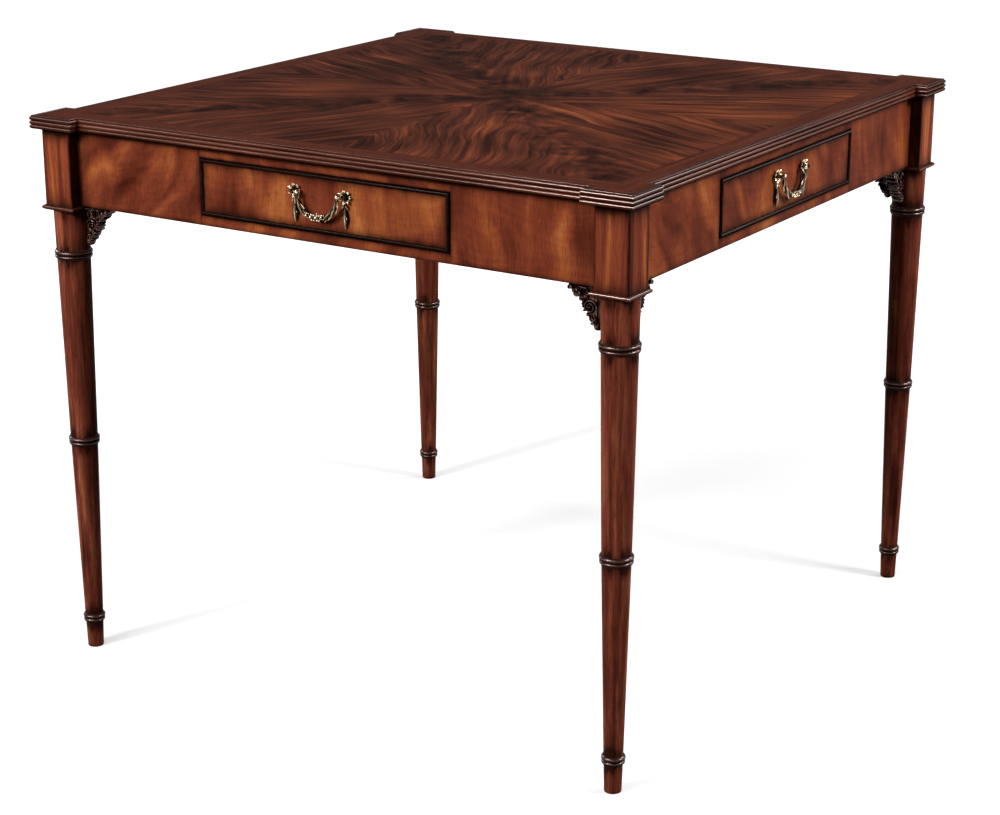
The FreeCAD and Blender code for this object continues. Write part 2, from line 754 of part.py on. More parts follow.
def make_bail(side, turn):
    """Make the hanging bail: a swept loop with round knuckles and the pins that turn in the posts."""
    loop = new_body(f"bail_loop_{side}", turn)
    shoulder_radius = s.bail_shoulder_radius
    arm_end = pivot_height - s.bail_straight
    depth = s.bail_drop - s.bail_straight
    inset = bail_half - shoulder_radius
    square_sum = inset * inset + depth * depth - shoulder_radius * shoulder_radius
    low_radius = square_sum / ((depth - shoulder_radius) * 2)
    low_centre = pivot_height - s.bail_drop + low_radius
    share = shoulder_radius / (low_radius - shoulder_radius)
    join_out = inset + inset * share
    join_height = arm_end - (low_centre - arm_end) * share
    corners = [
        (-bail_half, pivot_height),
        (-bail_half, arm_end),
        (-join_out, join_height),
        (join_out, join_height),
        (bail_half, arm_end),
        (bail_half, pivot_height),
    ]
    bends = {1: (-inset, None, False), 2: (None, low_centre, False), 3: (inset, None, False)}
    path = new_sketch(loop, f"bail_path_{side}", "XZ_Plane", pivot_face)
    draw(path, corners, bends, closed=False)
    section = new_sketch(loop, f"bail_section_{side}", "XY_Plane", pivot_height)
    draw_circle(section, -bail_half, -pivot_face, s.bail_dia)
    pipe(loop, path, section)
    pieces = [loop]
    pin_length = s.handle_spacing / 2 - bail_half
    for name, start, middle in (("left", -s.handle_spacing / 2, -bail_half), ("right", bail_half, bail_half)):
        knuckle = (middle, -pivot_face, pivot_height)
        pieces.append(ball(f"knuckle_{name}_{side}", knuckle, s.knuckle_dia, turn))
        pin_start = (start, -pivot_face, pivot_height)
        pieces.append(rod(f"bail_pin_{name}_{side}", pin_start, "x", s.pin_dia, pin_length, turn))
    node(f"drawer_{side}_bail", fuse(f"bail_{side}", pieces))


def build():
    """Make every sub-part of the table."""
    make_top()
    make_edge_mouldings()
    collars = []
    for turn, corner in enumerate(CORNERS):
        make_leg(corner, turn)
        collars.append(make_collar(corner, turn))
        pair = [
            make_bracket(f"bracket_{corner}_right_end", 1, turn),
            make_bracket(f"bracket_{corner}_left_end", -1, (turn + 1) % len(SIDES)),
        ]
        node(f"brackets_{corner}", group(f"bracket_pair_{corner}", pair))
    node("leg_collars", group("collar_set", collars))
    make_carcass()
    make_corner_blocks()
    for turn, side in enumerate(SIDES):
        make_apron(side, turn)
        make_cockbead(side, turn)
        make_drawer_box(side, turn)
        make_handle_posts(side, turn)
        make_bail(side, turn)


def check_document():
    """Stop if any object failed or any sub-part is not made of sound solids."""
    failed = [item.Name for item in doc.Objects if {"Invalid", "Error"} & set(item.State)]
    if failed:
        raise RuntimeError(f"failed objects: {failed}")
    for name, piece in nodes.items():
        shape = piece.Shape
        if shape.isNull() or not shape.isValid() or not shape.Solids:
            raise RuntimeError(f"{name} is not a sound solid")


def write_parts():
    """Write each sub-part to a STEP file of its own."""
    os.makedirs("parts", exist_ok=True)
    for name, piece in nodes.items():
        piece.Shape.exportStep(f"parts/{name}.step")


build()
doc.recompute()
check_document()
write_parts()
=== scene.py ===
"""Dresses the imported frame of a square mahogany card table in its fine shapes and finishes.

The table has a top of four matched crotch veneers inside a reeded edge that steps out at the corners,
four turned legs with ring beads, carved brackets, and a drawer with a brass bail in each side.
Everything is in metres in the frame's own axes: the front side faces -Y and Z is up.
"""
import logging
import math
from collections.abc import Sequence
from dataclasses import dataclass, field
from enum import Enum

import bmesh
import bpy
from mathutils import Euler, Matrix, Vector


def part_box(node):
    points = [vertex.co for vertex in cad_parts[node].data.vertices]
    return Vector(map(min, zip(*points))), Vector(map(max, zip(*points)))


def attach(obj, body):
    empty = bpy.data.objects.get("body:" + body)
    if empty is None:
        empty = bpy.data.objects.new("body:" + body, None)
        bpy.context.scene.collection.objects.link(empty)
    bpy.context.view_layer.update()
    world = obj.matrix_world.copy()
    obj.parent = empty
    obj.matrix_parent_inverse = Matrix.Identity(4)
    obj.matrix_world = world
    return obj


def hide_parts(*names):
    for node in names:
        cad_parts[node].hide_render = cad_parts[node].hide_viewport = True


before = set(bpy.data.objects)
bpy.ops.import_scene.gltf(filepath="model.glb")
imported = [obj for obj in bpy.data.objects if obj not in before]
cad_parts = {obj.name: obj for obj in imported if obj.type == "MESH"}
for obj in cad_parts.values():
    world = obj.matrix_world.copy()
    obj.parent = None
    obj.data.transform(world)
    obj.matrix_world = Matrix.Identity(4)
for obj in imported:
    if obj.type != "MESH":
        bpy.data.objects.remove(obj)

LOG = logging.getLogger("card_table")
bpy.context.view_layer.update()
MM = 0.001
# Numbers of the mix node's sockets for colours.
MIX_A, MIX_B, MIX_RESULT = 6, 7, 2

Colour = tuple[float, float, float, float]
Scale = tuple[float, float, float]
Stops = tuple[tuple[float, str], ...]
Loop = list[Vector]
Tree = bpy.types.NodeTree
Node = bpy.types.Node
Socket = bpy.types.NodeSocket
Mesh = bpy.types.Mesh

INSIDE_WOOD: Stops = ((0.25, "#7c5230"), (0.5, "#94683f"), (0.75, "#aa7d50"))


class Place(Enum):
    """A place round the table, by the quarter turns that carry the first place there."""

    @property
    def label(self) -> str:
        """Name of the place as the frame spells it."""
        return self.name.lower()

    @property
    def turn(self) -> Matrix:
        """Turn about Z that carries the first place here."""
        return quarter_turn(self.value)


class Side(Place):
    """Sides of the table."""

    FRONT = 0
    RIGHT = 1
    BACK = 2
    LEFT = 3


class Corner(Place):
    """Corners of the table."""

    FRONT_RIGHT = 0
    BACK_RIGHT = 1
    BACK_LEFT = 2
    FRONT_LEFT = 3


class Slot(Enum):
    """Material slots of the record."""

    FLAME = "flame_mahogany"
    PLAIN = "mahogany"
    DARK = "dark_mahogany"
    CARVED = "carved_mahogany"
    SECONDARY = "secondary_wood"
    BRASS = "antique_brass"
    STEEL = "zinc_steel"


# Small tools for colours, nodes and meshes

def hex_colour(text: str) -> Colour:
    """Turn an sRGB hex value into a linear colour.

    Args:
        text: A hash sign and six hex digits.

    Returns:
        Linear red, green and blue, with an alpha of 1.
    """
    channels = [int(text[at:at + 2], 16) / 255 for at in (1, 3, 5)]
    linear = [c / 12.92 if c <= 0.04045 else ((c + 0.055) / 1.055) ** 2.4 for c in channels]
    return (*linear, 1.0)


def add_node(
    tree: Tree,
    kind: str,
    inputs: dict[str | int, object] | None = None,
    stops: Stops | None = None,
    **settings: object,
) -> Node:
    """Add a node to a tree with its settings and links.

    Args:
        tree: Tree that gets the node.
        kind: Blender's name for the kind of node.
        inputs: Value, node or output socket for each input, by the input's name or number.
        stops: Places and hex colours of a colour ramp.
        **settings: Properties of the node itself.

    Returns:
        The new node.
    """
    node = tree.nodes.new(kind)
    for name, value in settings.items():
        setattr(node, name, value)
    if stops:
        ramp = node.color_ramp.elements
        for element, (place, text) in zip(ramp, (stops[0], stops[-1])):
            element.position = place
            element.color = hex_colour(text)
        for place, text in stops[1:-1]:
            ramp.new(place).color = hex_colour(text)
    for key, value in (inputs or {}).items():
        if isinstance(value, Node):
            tree.links.new(value.outputs[0], node.inputs[key])
        elif isinstance(value, Socket):
            tree.links.new(value, node.inputs[key])
        else:
            node.inputs[key].default_value = value
    return node


def quarter_turn(count: int, axis: str = "Z") -> Matrix:
    """Turn by quarters of a circle about an axis."""
    return Matrix.Rotation(count * math.pi / 2, 4, axis)


def darkening(distance: float, reach: float) -> float:
    """Share of darkening at a distance from an edge, which fades out to a reach."""
    return max(0.0, 1.0 - distance / reach) ** 1.6 if reach else 0.0


def margin_lines(low: float, high: float, margins: Sequence[float]) -> list[float]:
    """Places for mesh lines between two edges, closer together near the edges.

    Args:
        low: Lower edge.
        high: Upper edge.
        margins: Distances from each edge that get a line.

    Returns:
        The places in rising order, with the edges themselves first and last.
    """
    half = (high - low) / 2
    inner = [margin for margin in margins if margin < half]
    rising = [low + margin for margin in inner]
    falling = [high - margin for margin in reversed(inner)]
    return [low, *rising, low + half, *falling, high]


def arc_points(centre: tuple[float, float], radius: float, start: float, end: float, steps: int
               ) -> list[tuple[float, float]]:
    """Points along an arc in a plane.

    Args:
        centre: Centre of the arc.
        radius: Its radius.
        start: Angle of the first point, in degrees.
        end: Angle of the last point, in degrees.
        steps: Number of steps between them.

    Returns:
        Points from start to end.
    """
    angles = [math.radians(start + (end - start) * step / steps) for step in range(steps + 1)]
    return [(centre[0] + radius * math.cos(a), centre[1] + radius * math.sin(a)) for a in angles]


def bar_loops(path: Sequence[Vector], radii: Sequence[float], normal: Vector, sides: int,
              rise: float | None = None) -> list[Loop]:
    """Loops of a round bar along a path that lies in a plane.

    Args:
        path: Points along the bar.
        radii: Radius of the bar at each point.
        normal: Normal of the path's plane.
        sides: Points in each loop.
        rise: Half of the bar's height along the normal, where it isn't round.

    Returns:
        One loop for each point of the path.
    """
    loops = []
    for at, point in enumerate(path):
        ahead = path[min(at + 1, len(path) - 1)]
        behind = path[max(at - 1, 0)]
        across = (ahead - behind).normalized().cross(normal) * radii[at]
        height = normal * (rise or radii[at])
        loop = []
        for side in range(sides):
            angle = 2 * math.pi * side / sides
            loop.append(point + across * math.cos(angle) + height * math.sin(angle))
        loops.append(loop)
    return loops


def ball_loops(centre: Vector, radius: float, sides: int = 12, rings: int = 7,
               stretch: Vector | None = None) -> list[Loop]:
    """Loops of a ball, or of an egg where it is stretched.

    Args:
        centre: Centre of the ball.
        radius: Its radius.
        sides: Points in each loop.
        rings: Number of loops.
        stretch: Stretch along X, Y and Z.

    Returns:
        Loops from the lowest to the highest.
    """
    scale = stretch or Vector((1, 1, 1))
    loops = []
    for ring in range(rings):
        # The first and last loops stop short of the poles by about a third of a step.
        tilt = math.pi * (ring + 0.35) / (rings - 0.3) - math.pi / 2
        out = math.cos(tilt)
        loop = []
        for side in range(sides):
            angle = 2 * math.pi * side / sides
            point = Vector((math.cos(angle) * out, math.sin(angle) * out, math.sin(tilt)))
            loop.append(centre + point * scale * radius)
        loops.append(loop)
    return loops


class Shell:
    """A mesh in the making: closed skins lofted through loops of points.

    Each point carries two numbers that the wood finishes read: how far painted shade and grime darken the
    surface there, and which cut of wood it belongs to.
    """

    def __init__(self) -> None:
        """Start with no points."""
        self.points: list[Vector] = []
        self.faces: list[tuple[int, ...]] = []
        self.coats: list[int] = []
        self.burnish: list[float] = []
        self.cut: list[float] = []

    def loft(self, loops: Sequence[Loop], burnish: Sequence[Sequence[float]] | None = None,
             closed: bool = False, cut: float = 0.0, coats: Sequence[int] | None = None) -> None:
        """Add a skin through loops of equally many points, and cap its ends.

        Args:
            loops: The loops in order.
            burnish: Darkening of each point of each loop, 0 to 1.
            closed: Whether the last loop joins on to the first, so that there are no ends.
            cut: Number of the cut of wood.
            coats: Number of the finish of the faces after each loop.
        """
        first = len(self.points)
        count = len(loops[0])
        for number, loop in enumerate(loops):
            self.points.extend(loop)
            self.burnish.extend(burnish[number] if burnish else [0.0] * count)
            self.cut.extend([cut] * count)
        for row in range(len(loops) if closed else len(loops) - 1):
            here = first + row * count
            there = first + (row + 1) % len(loops) * count
            for at in range(count):
                after = (at + 1) % count
                self.faces.append((here + at, here + after, there + after, there + at))
            self.coats.extend([coats[row] if coats else 0] * count)
        if not closed:
            end = first + (len(loops) - 1) * count
            self.faces.append(tuple(first + at for at in reversed(range(count))))
            self.faces.append(tuple(end + at for at in range(count)))
            self.coats.extend([coats[0], coats[-1]] if coats else [0, 0])

    def add(self, other: "Shell", place: Matrix, cut: float = 0.0) -> None:
        """Add a copy of another shell.

        Args:
            other: Shell to copy.
            place: Where the copy goes.
            cut: Number to add to its cuts of wood.
        """
        first = len(self.points)
        self.points.extend(place @ point for point in other.points)
        self.faces.extend(tuple(first + at for at in face) for face in other.faces)
        self.coats.extend(other.coats)
        self.burnish.extend(other.burnish)
        self.cut.extend(number + cut for number in other.cut)

    def moved(self, place: Matrix, cut: float = 0.0) -> "Shell":
        """Copy the shell.

        Args:
            place: Where the copy goes.
            cut: Number to add to its cuts of wood.

        Returns:
            The copy.
        """
        copy = Shell()
        copy.add(self, place, cut)
        return copy

    def mesh(self, name: str) -> Mesh:
        """Make the mesh, with its faces pointing outwards."""
        mesh = bpy.data.meshes.new(name)
        mesh.from_pydata([tuple(point) for point in self.points], [], self.faces)
        mesh.polygons.foreach_set("material_index", self.coats)
        for label, values in (("burnish", self.burnish), ("cut", self.cut)):
            mesh.attributes.new(label, "FLOAT", "POINT").data.foreach_set("value", values)
        work = bmesh.new()
        work.from_mesh(mesh)
        bmesh.ops.recalc_face_normals(work, faces=work.faces)
        work.to_mesh(mesh)
        work.free()
        return mesh


def evaluated_mesh(holder: bpy.types.Object) -> Mesh:
    """Turn an object's modifiers into a plain mesh, and remove the object.

    Args:
        holder: Object with the modifiers.

    Returns:
        The plain mesh.
    """
    bpy.context.scene.collection.objects.link(holder)
    bpy.context.view_layer.update()
    depsgraph = bpy.context.evaluated_depsgraph_get()
    mesh = bpy.data.meshes.new_from_object(holder.evaluated_get(depsgraph))
    holder.modifiers.clear()
    bpy.data.objects.remove(holder)
    return mesh


def joined(name: str, meshes: Sequence[Mesh]) -> Mesh:
    """Put meshes together in a new one.

    Args:
        name: Name of the new mesh.
        meshes: The meshes, in place.

    Returns:
        The new mesh.
    """
    work = bmesh.new()
    for mesh in meshes:
        work.from_mesh(mesh)
    together = bpy.data.meshes.new(name)
    work.to_mesh(together)
    work.free()
    return together


# Finishes

@dataclass(frozen=True)
class Finish:
    """A surface finish, whose material is made at its first use and then shared."""

    name: str
    slot: Slot

    def material(self) -> bpy.types.Material:
        """Return the finish's material."""
        material = bpy.data.materials.get(self.name)
        if material is None:
            material = bpy.data.materials.new(self.name)
            material.use_nodes = True
            tree = material.node_tree
            self.dress(tree, tree.nodes["Principled BSDF"])
        return material

    def dress(self, tree: Tree, shader: Node) -> None:
        """Add the finish's nodes to a new material.

        Args:
            tree: The material's node tree.
            shader: Its shader node.
        """
        raise NotImplementedError

    def put_on(self, node: str) -> None:
        """Give this finish to a CAD node that stays in view."""
        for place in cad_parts[node].material_slots:
            place.material = self.material()
        LOG.info("%s keeps its shape, finish %s", node, self.name)


@dataclass(frozen=True)
class Mahogany(Finish):
    """Straight-grained mahogany, stained and rubbed under lacquer.

    The eye gets long warm streaks along the grain, short dark pores, a deep brown-black darkening in
    corners and beside mouldings that is painted shade and grime, and a soft gloss.
    """

    stops: Stops
    # Dark colour of the pores, and of the painted shade and grime.
    burnish: str = "#170a07"
    burnish_share: float = 0.9
    burnish_spread: tuple[float, float] = (0.7, 1.15)
    patch_mm: float = 13.0
    patch_length_mm: float = 40.0
    streak_mm: float = 7.0
    streak_length_mm: float = 180.0
    # Real pores are about 0.2 mm wide and 3 mm long. They are drawn coarser, so that they show.
    pore_mm: float = 0.9
    pore_length_mm: float = 13.0
    pore_share: float = 0.4
    cut_shift_mm: float = 311.0
    cut_shift_shares: tuple[float, float, float] = (1.0, 0.37, 0.73)
    roughness: float = 0.3
    specular: float = 0.006
    gloss_tint: str = "#ffffff"

    def place(self, tree: Tree) -> Node:
        """Object coordinates in millimetres, shifted for each cut of wood."""
        coordinates = add_node(tree, "ShaderNodeTexCoord")
        cut = add_node(tree, "ShaderNodeAttribute", attribute_name="cut")
        away = tuple(self.cut_shift_mm * share for share in self.cut_shift_shares)
        shift = add_node(tree, "ShaderNodeVectorMath", {
            0: cut.outputs["Fac"], 1: away,
        }, operation="MULTIPLY")
        return add_node(tree, "ShaderNodeVectorMath", {
            0: coordinates.outputs["Object"], 1: (1 / MM, 1 / MM, 1 / MM), 2: shift,
        }, operation="MULTIPLY_ADD")

    def stretch(self, across_mm: float, along_mm: float) -> Scale:
        """Scale that draws a pattern out along the grain, which runs up Z."""
        return (1 / across_mm, 1 / across_mm, 1 / along_mm)

    def drawn_out(self, tree: Tree, place: Node, scale: Scale, noise: dict[str, float]) -> Node:
        """Noise that is drawn out along the grain.

        Args:
            tree: The material's node tree.
            place: Place in millimetres.
            scale: Scale that draws it out.
            noise: Values of the noise.

        Returns:
            A node whose first output is the noise.
        """
        stretched = add_node(tree, "ShaderNodeVectorMath", {0: place, 1: scale}, operation="MULTIPLY")
        return add_node(tree, "ShaderNodeTexNoise", {"Vector": stretched, "Scale": 1.0, **noise})

    def swayed(self, tree: Tree, place: Node, base: Node, reach_mm: float, sway_mm: float) -> Node:
        """Places that noise shifts to and fro.

        Args:
            tree: The material's node tree.
            place: Place in millimetres at which the noise is read.
            base: Place that is shifted.
            reach_mm: Size of the noise's swells.
            sway_mm: Greatest shift.

        Returns:
            A node whose first output is the shifted place.
        """
        noise = add_node(tree, "ShaderNodeTexNoise", {
            "Vector": place, "Scale": 1 / reach_mm, "Detail": 2.0,
        })
        centred = add_node(tree, "ShaderNodeVectorMath", {
            0: noise.outputs["Color"], 1: (0.5, 0.5, 0.5),
        }, operation="SUBTRACT")
        return add_node(tree, "ShaderNodeVectorMath", {
            0: centred, 1: (sway_mm * 2,) * 3, 2: base,
        }, operation="MULTIPLY_ADD")

    def figure(self, tree: Tree, place: Node) -> Node:
        """Streaks along the grain.

        Args:
            tree: The material's node tree.
            place: Place in millimetres.

        Returns:
            A node whose first output goes from 0, dark wood, to 1, pale wood.
        """
        scale = self.stretch(self.streak_mm, self.streak_length_mm)
        streaks = self.drawn_out(tree, place, scale, {"Detail": 5.0, "Roughness": 0.62, "Distortion": 0.4})
        return add_node(tree, "ShaderNodeMapRange", {
            "Value": streaks, "From Min": 0.28, "From Max": 0.72,
        }, clamp=True)

    def shade(self, tree: Tree, place: Node) -> Node:
        """Darkening of the surface by painted shade and grime, from the mesh's own attribute and broken up
        a little.

        Args:
            tree: The material's node tree.
            place: Place in millimetres.

        Returns:
            A node whose first output goes from 0, clean wood, to 1, fully darkened.
        """
        # Painted shade and grime, as the mesh's points carry them.
        burnish = add_node(tree, "ShaderNodeAttribute", attribute_name="burnish")
        scale = self.stretch(self.patch_mm, self.patch_length_mm)
        patches = self.drawn_out(tree, place, scale, {"Detail": 3.0, "Roughness": 0.6})
        uneven = add_node(tree, "ShaderNodeMapRange", {
            "Value": patches, "From Min": 0.3, "From Max": 0.7,
            "To Min": self.burnish_spread[0], "To Max": self.burnish_spread[1],
        }, clamp=True)
        amount = add_node(tree, "ShaderNodeMath", {
            0: burnish.outputs["Fac"], 1: uneven,
        }, operation="MULTIPLY", use_clamp=True)
        return add_node(tree, "ShaderNodeMath", {0: amount, 1: self.burnish_share}, operation="MULTIPLY")

    def dress(self, tree: Tree, shader: Node) -> None:
        """Add colour, pores, painted shade and grime, gloss and a slight unevenness of the lacquer.

        Args:
            tree: The material's node tree.
            shader: Its shader node.
        """
        place = self.place(tree)
        figure = self.figure(tree, place)
        wood = add_node(tree, "ShaderNodeValToRGB", {"Fac": figure}, stops=self.stops)
        pore_scale = self.stretch(self.pore_mm, self.pore_length_mm)
        pore_noise = self.drawn_out(tree, place, pore_scale, {"Detail": 1.0})
        pores = add_node(tree, "ShaderNodeMapRange", {
            "Value": pore_noise, "From Min": 0.57, "From Max": 0.7, "To Max": self.pore_share,
        }, clamp=True)
        porous = add_node(tree, "ShaderNodeMix", {
            0: pores, MIX_A: wood, MIX_B: hex_colour(self.burnish),
        }, data_type="RGBA")
        shade = self.shade(tree, place)
        finished = add_node(tree, "ShaderNodeMix", {
            0: shade, MIX_A: porous.outputs[MIX_RESULT], MIX_B: hex_colour(self.burnish),
        }, data_type="RGBA")
        gloss = add_node(tree, "ShaderNodeMapRange", {
            "Value": pore_noise, "To Min": self.roughness - 0.06, "To Max": self.roughness + 0.1,
        })
        uneven = add_node(tree, "ShaderNodeBump", {"Height": pores, "Strength": 0.12, "Distance": 0.1 * MM},
                          invert=True)
        tree.links.new(finished.outputs[MIX_RESULT], shader.inputs["Base Color"])
        tree.links.new(gloss.outputs[0], shader.inputs["Roughness"])
        tree.links.new(uneven.outputs[0], shader.inputs["Normal"])
        shader.inputs["Specular IOR Level"].default_value = self.specular
        shader.inputs["Specular Tint"].default_value = hex_colour(self.gloss_tint)


@dataclass(frozen=True)
class FlameMahogany(Mahogany):
    """Flame-figured mahogany veneer with its grain upright, under the same lacquer.

    The eye gets broad soft flares of orange among red-brown, which lean and bend, and fine streaks in them.
    """

    flare_mm: float = 46.0
    flare_length_mm: float = 170.0
    bend_mm: float = 26.0
    bend_reach_mm: float = 130.0
    flare_share: float = 0.74
    # Share of the streaks in what the flares leave. The ripples have the rest.
    streak_share: float = 0.6
    ripple_mm: float = 5.0
    ripple_width_mm: float = 40.0
    lean: float = 0.45
    # Angle in radians by which the lean swings from one cut of wood to the next.
    lean_change: float = 2.3

    def figure(self, tree: Tree, place: Node) -> Node:
        """Flares and fine streaks, bent together.

        Args:
            tree: The material's node tree.
            place: Place in millimetres.

        Returns:
            A node whose first output goes from 0, dark wood, to 1, pale wood.
        """
        cut = add_node(tree, "ShaderNodeAttribute", attribute_name="cut")
        turn = add_node(tree, "ShaderNodeMath", {
            0: cut.outputs["Fac"], 1: self.lean_change,
        }, operation="MULTIPLY")
        way = add_node(tree, "ShaderNodeMath", {
            0: add_node(tree, "ShaderNodeMath", {0: turn}, operation="SINE"), 1: self.lean,
        }, operation="MULTIPLY")
        height = add_node(tree, "ShaderNodeSeparateXYZ", {0: place})
        lean = add_node(tree, "ShaderNodeMath", {0: height.outputs["Z"], 1: way}, operation="MULTIPLY")
        leaning = add_node(tree, "ShaderNodeVectorMath", {
            0: add_node(tree, "ShaderNodeCombineXYZ", {"X": lean, "Y": lean}), 1: place,
        }, operation="ADD")
        bent = self.swayed(tree, place, leaning, self.bend_reach_mm, self.bend_mm)
        flare_scale = self.stretch(self.flare_mm, self.flare_length_mm)
        flares = self.drawn_out(tree, bent, flare_scale, {
            "Detail": 1.5, "Roughness": 0.45, "Distortion": 0.4,
        })
        streak_scale = self.stretch(self.streak_mm, self.streak_length_mm)
        streaks = self.drawn_out(tree, bent, streak_scale, {"Detail": 4.0, "Roughness": 0.6})
        ripple_scale = self.stretch(self.ripple_width_mm, self.ripple_mm)
        ripples = self.drawn_out(tree, bent, ripple_scale, {"Detail": 2.0})
        weighed = add_node(tree, "ShaderNodeMath", {0: flares, 1: self.flare_share}, operation="MULTIPLY")
        rest = 1 - self.flare_share
        streaked = add_node(tree, "ShaderNodeMath", {
            0: streaks, 1: rest * self.streak_share, 2: weighed,
        }, operation="MULTIPLY_ADD")
        together = add_node(tree, "ShaderNodeMath", {
            0: ripples, 1: rest * (1 - self.streak_share), 2: streaked,
        }, operation="MULTIPLY_ADD")
        return add_node(tree, "ShaderNodeMapRange", {
            "Value": together, "From Min": 0.3, "From Max": 0.7,
        }, clamp=True)


@dataclass(frozen=True)
class CrotchMahogany(Mahogany):
    """Crotch mahogany veneer, four mirrored leaves under lacquer.

    The eye gets a feather along each diagonal: dark and orange plumes that leave the spine at a slant and
    run out to the edges, fine streaks along them, a dark knot in the middle, and thin dark seams.
    """

    slant: float = 2.75
    spine_mm: float = 45.0
    plume_mm: float = 30.0
    plume_length_mm: float = 180.0
    fine_mm: float = 7.0
    fine_length_mm: float = 150.0
    sway_mm: float = 26.0
    sway_reach_mm: float = 150.0
    tone_mm: float = 140.0
    crest_mm: float = 62.0
    crest_patch_mm: float = 42.0
    knot_mm: float = 110.0
    # The seams are hair lines. They are drawn a millimetre wide, so that they show.
    seam_mm: float = 1.0
    plume_weight: float = 0.46
    tone_weight: float = 0.26
    fine_weight: float = 0.28

    def feather(self, tree: Tree, place: Node) -> tuple[Node, Node]:
        """Place on the feather of one leaf.

        Args:
            tree: The material's node tree.
            place: Place in millimetres.

        Returns:
            A node with the distance out along the diagonal as X and off it as Y, and a node with the
            distance across the plumes.
        """
        swayed = self.swayed(tree, place, place, self.sway_reach_mm, self.sway_mm)
        mirrored = add_node(tree, "ShaderNodeVectorMath", {0: swayed}, operation="ABSOLUTE")
        turned = add_node(tree, "ShaderNodeVectorRotate", {
            "Vector": mirrored, "Angle": -math.pi / 4,
        }, rotation_type="Z_AXIS")
        spine = add_node(tree, "ShaderNodeSeparateXYZ", {0: turned})
        wide = add_node(tree, "ShaderNodeMath", {
            0: spine.outputs["Y"], 1: self.slant,
        }, operation="MULTIPLY")
        pair = add_node(tree, "ShaderNodeCombineXYZ", {"X": wide, "Y": self.spine_mm})
        bow = add_node(tree, "ShaderNodeVectorMath", {0: pair}, operation="LENGTH")
        across = add_node(tree, "ShaderNodeMath", {
            0: spine.outputs["X"], 1: bow.outputs["Value"],
        }, operation="SUBTRACT")
        return spine, across

    def figure(self, tree: Tree, place: Node) -> Node:
        """Plumes and fine streaks along the feather, with a tone of its own for each leaf.

        Args:
            tree: The material's node tree.
            place: Place in millimetres.

        Returns:
            A node whose first output goes from 0, dark wood, to 1, pale wood.
        """
        spine, across = self.feather(tree, place)
        whole = add_node(tree, "ShaderNodeSeparateXYZ", {0: place})
        leaf_x = add_node(tree, "ShaderNodeMath", {0: whole.outputs["X"]}, operation="SIGN")
        leaf_y = add_node(tree, "ShaderNodeMath", {0: whole.outputs["Y"]}, operation="SIGN")
        leaf = add_node(tree, "ShaderNodeMath", {0: leaf_y, 1: 0.35, 2: leaf_x}, operation="MULTIPLY_ADD")
        flank = add_node(tree, "ShaderNodeMapRange", {
            "Value": spine.outputs["Y"], "From Min": -self.crest_mm / 2, "From Max": self.crest_mm / 2,
            "To Min": -1.4, "To Max": 1.4,
        }, clamp=True, interpolation_type="SMOOTHSTEP")
        layer = add_node(tree, "ShaderNodeMath", {0: leaf, 1: 0.25, 2: flank}, operation="MULTIPLY_ADD")
        plume_place = add_node(tree, "ShaderNodeCombineXYZ", {
            "X": across, "Y": spine.outputs["X"], "Z": layer,
        })
        plume_scale = (1 / self.plume_mm, 1 / self.plume_length_mm, 1.0)
        plumes = self.drawn_out(tree, plume_place, plume_scale, {
            "Detail": 2.0, "Roughness": 0.55, "Distortion": 0.5,
        })
        fine_scale = (1 / self.fine_mm, 1 / self.fine_length_mm, 1.0)
        fine = self.drawn_out(tree, plume_place, fine_scale, {
            "Detail": 4.0, "Roughness": 0.62, "Distortion": 0.2,
        })
        patches = add_node(tree, "ShaderNodeTexNoise", {
            "Vector": place, "Scale": 1 / self.crest_patch_mm,
            "Detail": 4.0, "Roughness": 0.6, "Distortion": 0.8,
        })
        crest = add_node(tree, "ShaderNodeMapRange", {
            "Value": add_node(tree, "ShaderNodeMath", {0: spine.outputs["Y"]}, operation="ABSOLUTE"),
            "From Max": self.crest_mm, "To Min": 0.6, "To Max": 0.0,
        }, clamp=True, interpolation_type="SMOOTHSTEP")
        tones = add_node(tree, "ShaderNodeTexNoise", {
            "Vector": place, "Scale": 1 / self.tone_mm, "Detail": 1.0, "Roughness": 0.5,
        })
        weighed = add_node(tree, "ShaderNodeMath", {0: plumes, 1: self.plume_weight}, operation="MULTIPLY")
        broad = add_node(tree, "ShaderNodeMath", {
            0: tones, 1: self.tone_weight, 2: weighed,
        }, operation="MULTIPLY_ADD")
        barbs = add_node(tree, "ShaderNodeMath", {
            0: fine, 1: self.fine_weight, 2: broad,
        }, operation="MULTIPLY_ADD")
        dark_crest = add_node(tree, "ShaderNodeMath", {0: patches, 1: 0.1}, operation="SUBTRACT")
        together = add_node(tree, "ShaderNodeMix", {0: crest, 2: barbs, 3: dark_crest}, data_type="FLOAT")
        toned = add_node(tree, "ShaderNodeMath", {
            0: leaf_x, 1: 0.012, 2: together,
        }, operation="MULTIPLY_ADD")
        return add_node(tree, "ShaderNodeMapRange", {
            "Value": toned, "From Min": 0.35, "From Max": 0.66,
        }, clamp=True)

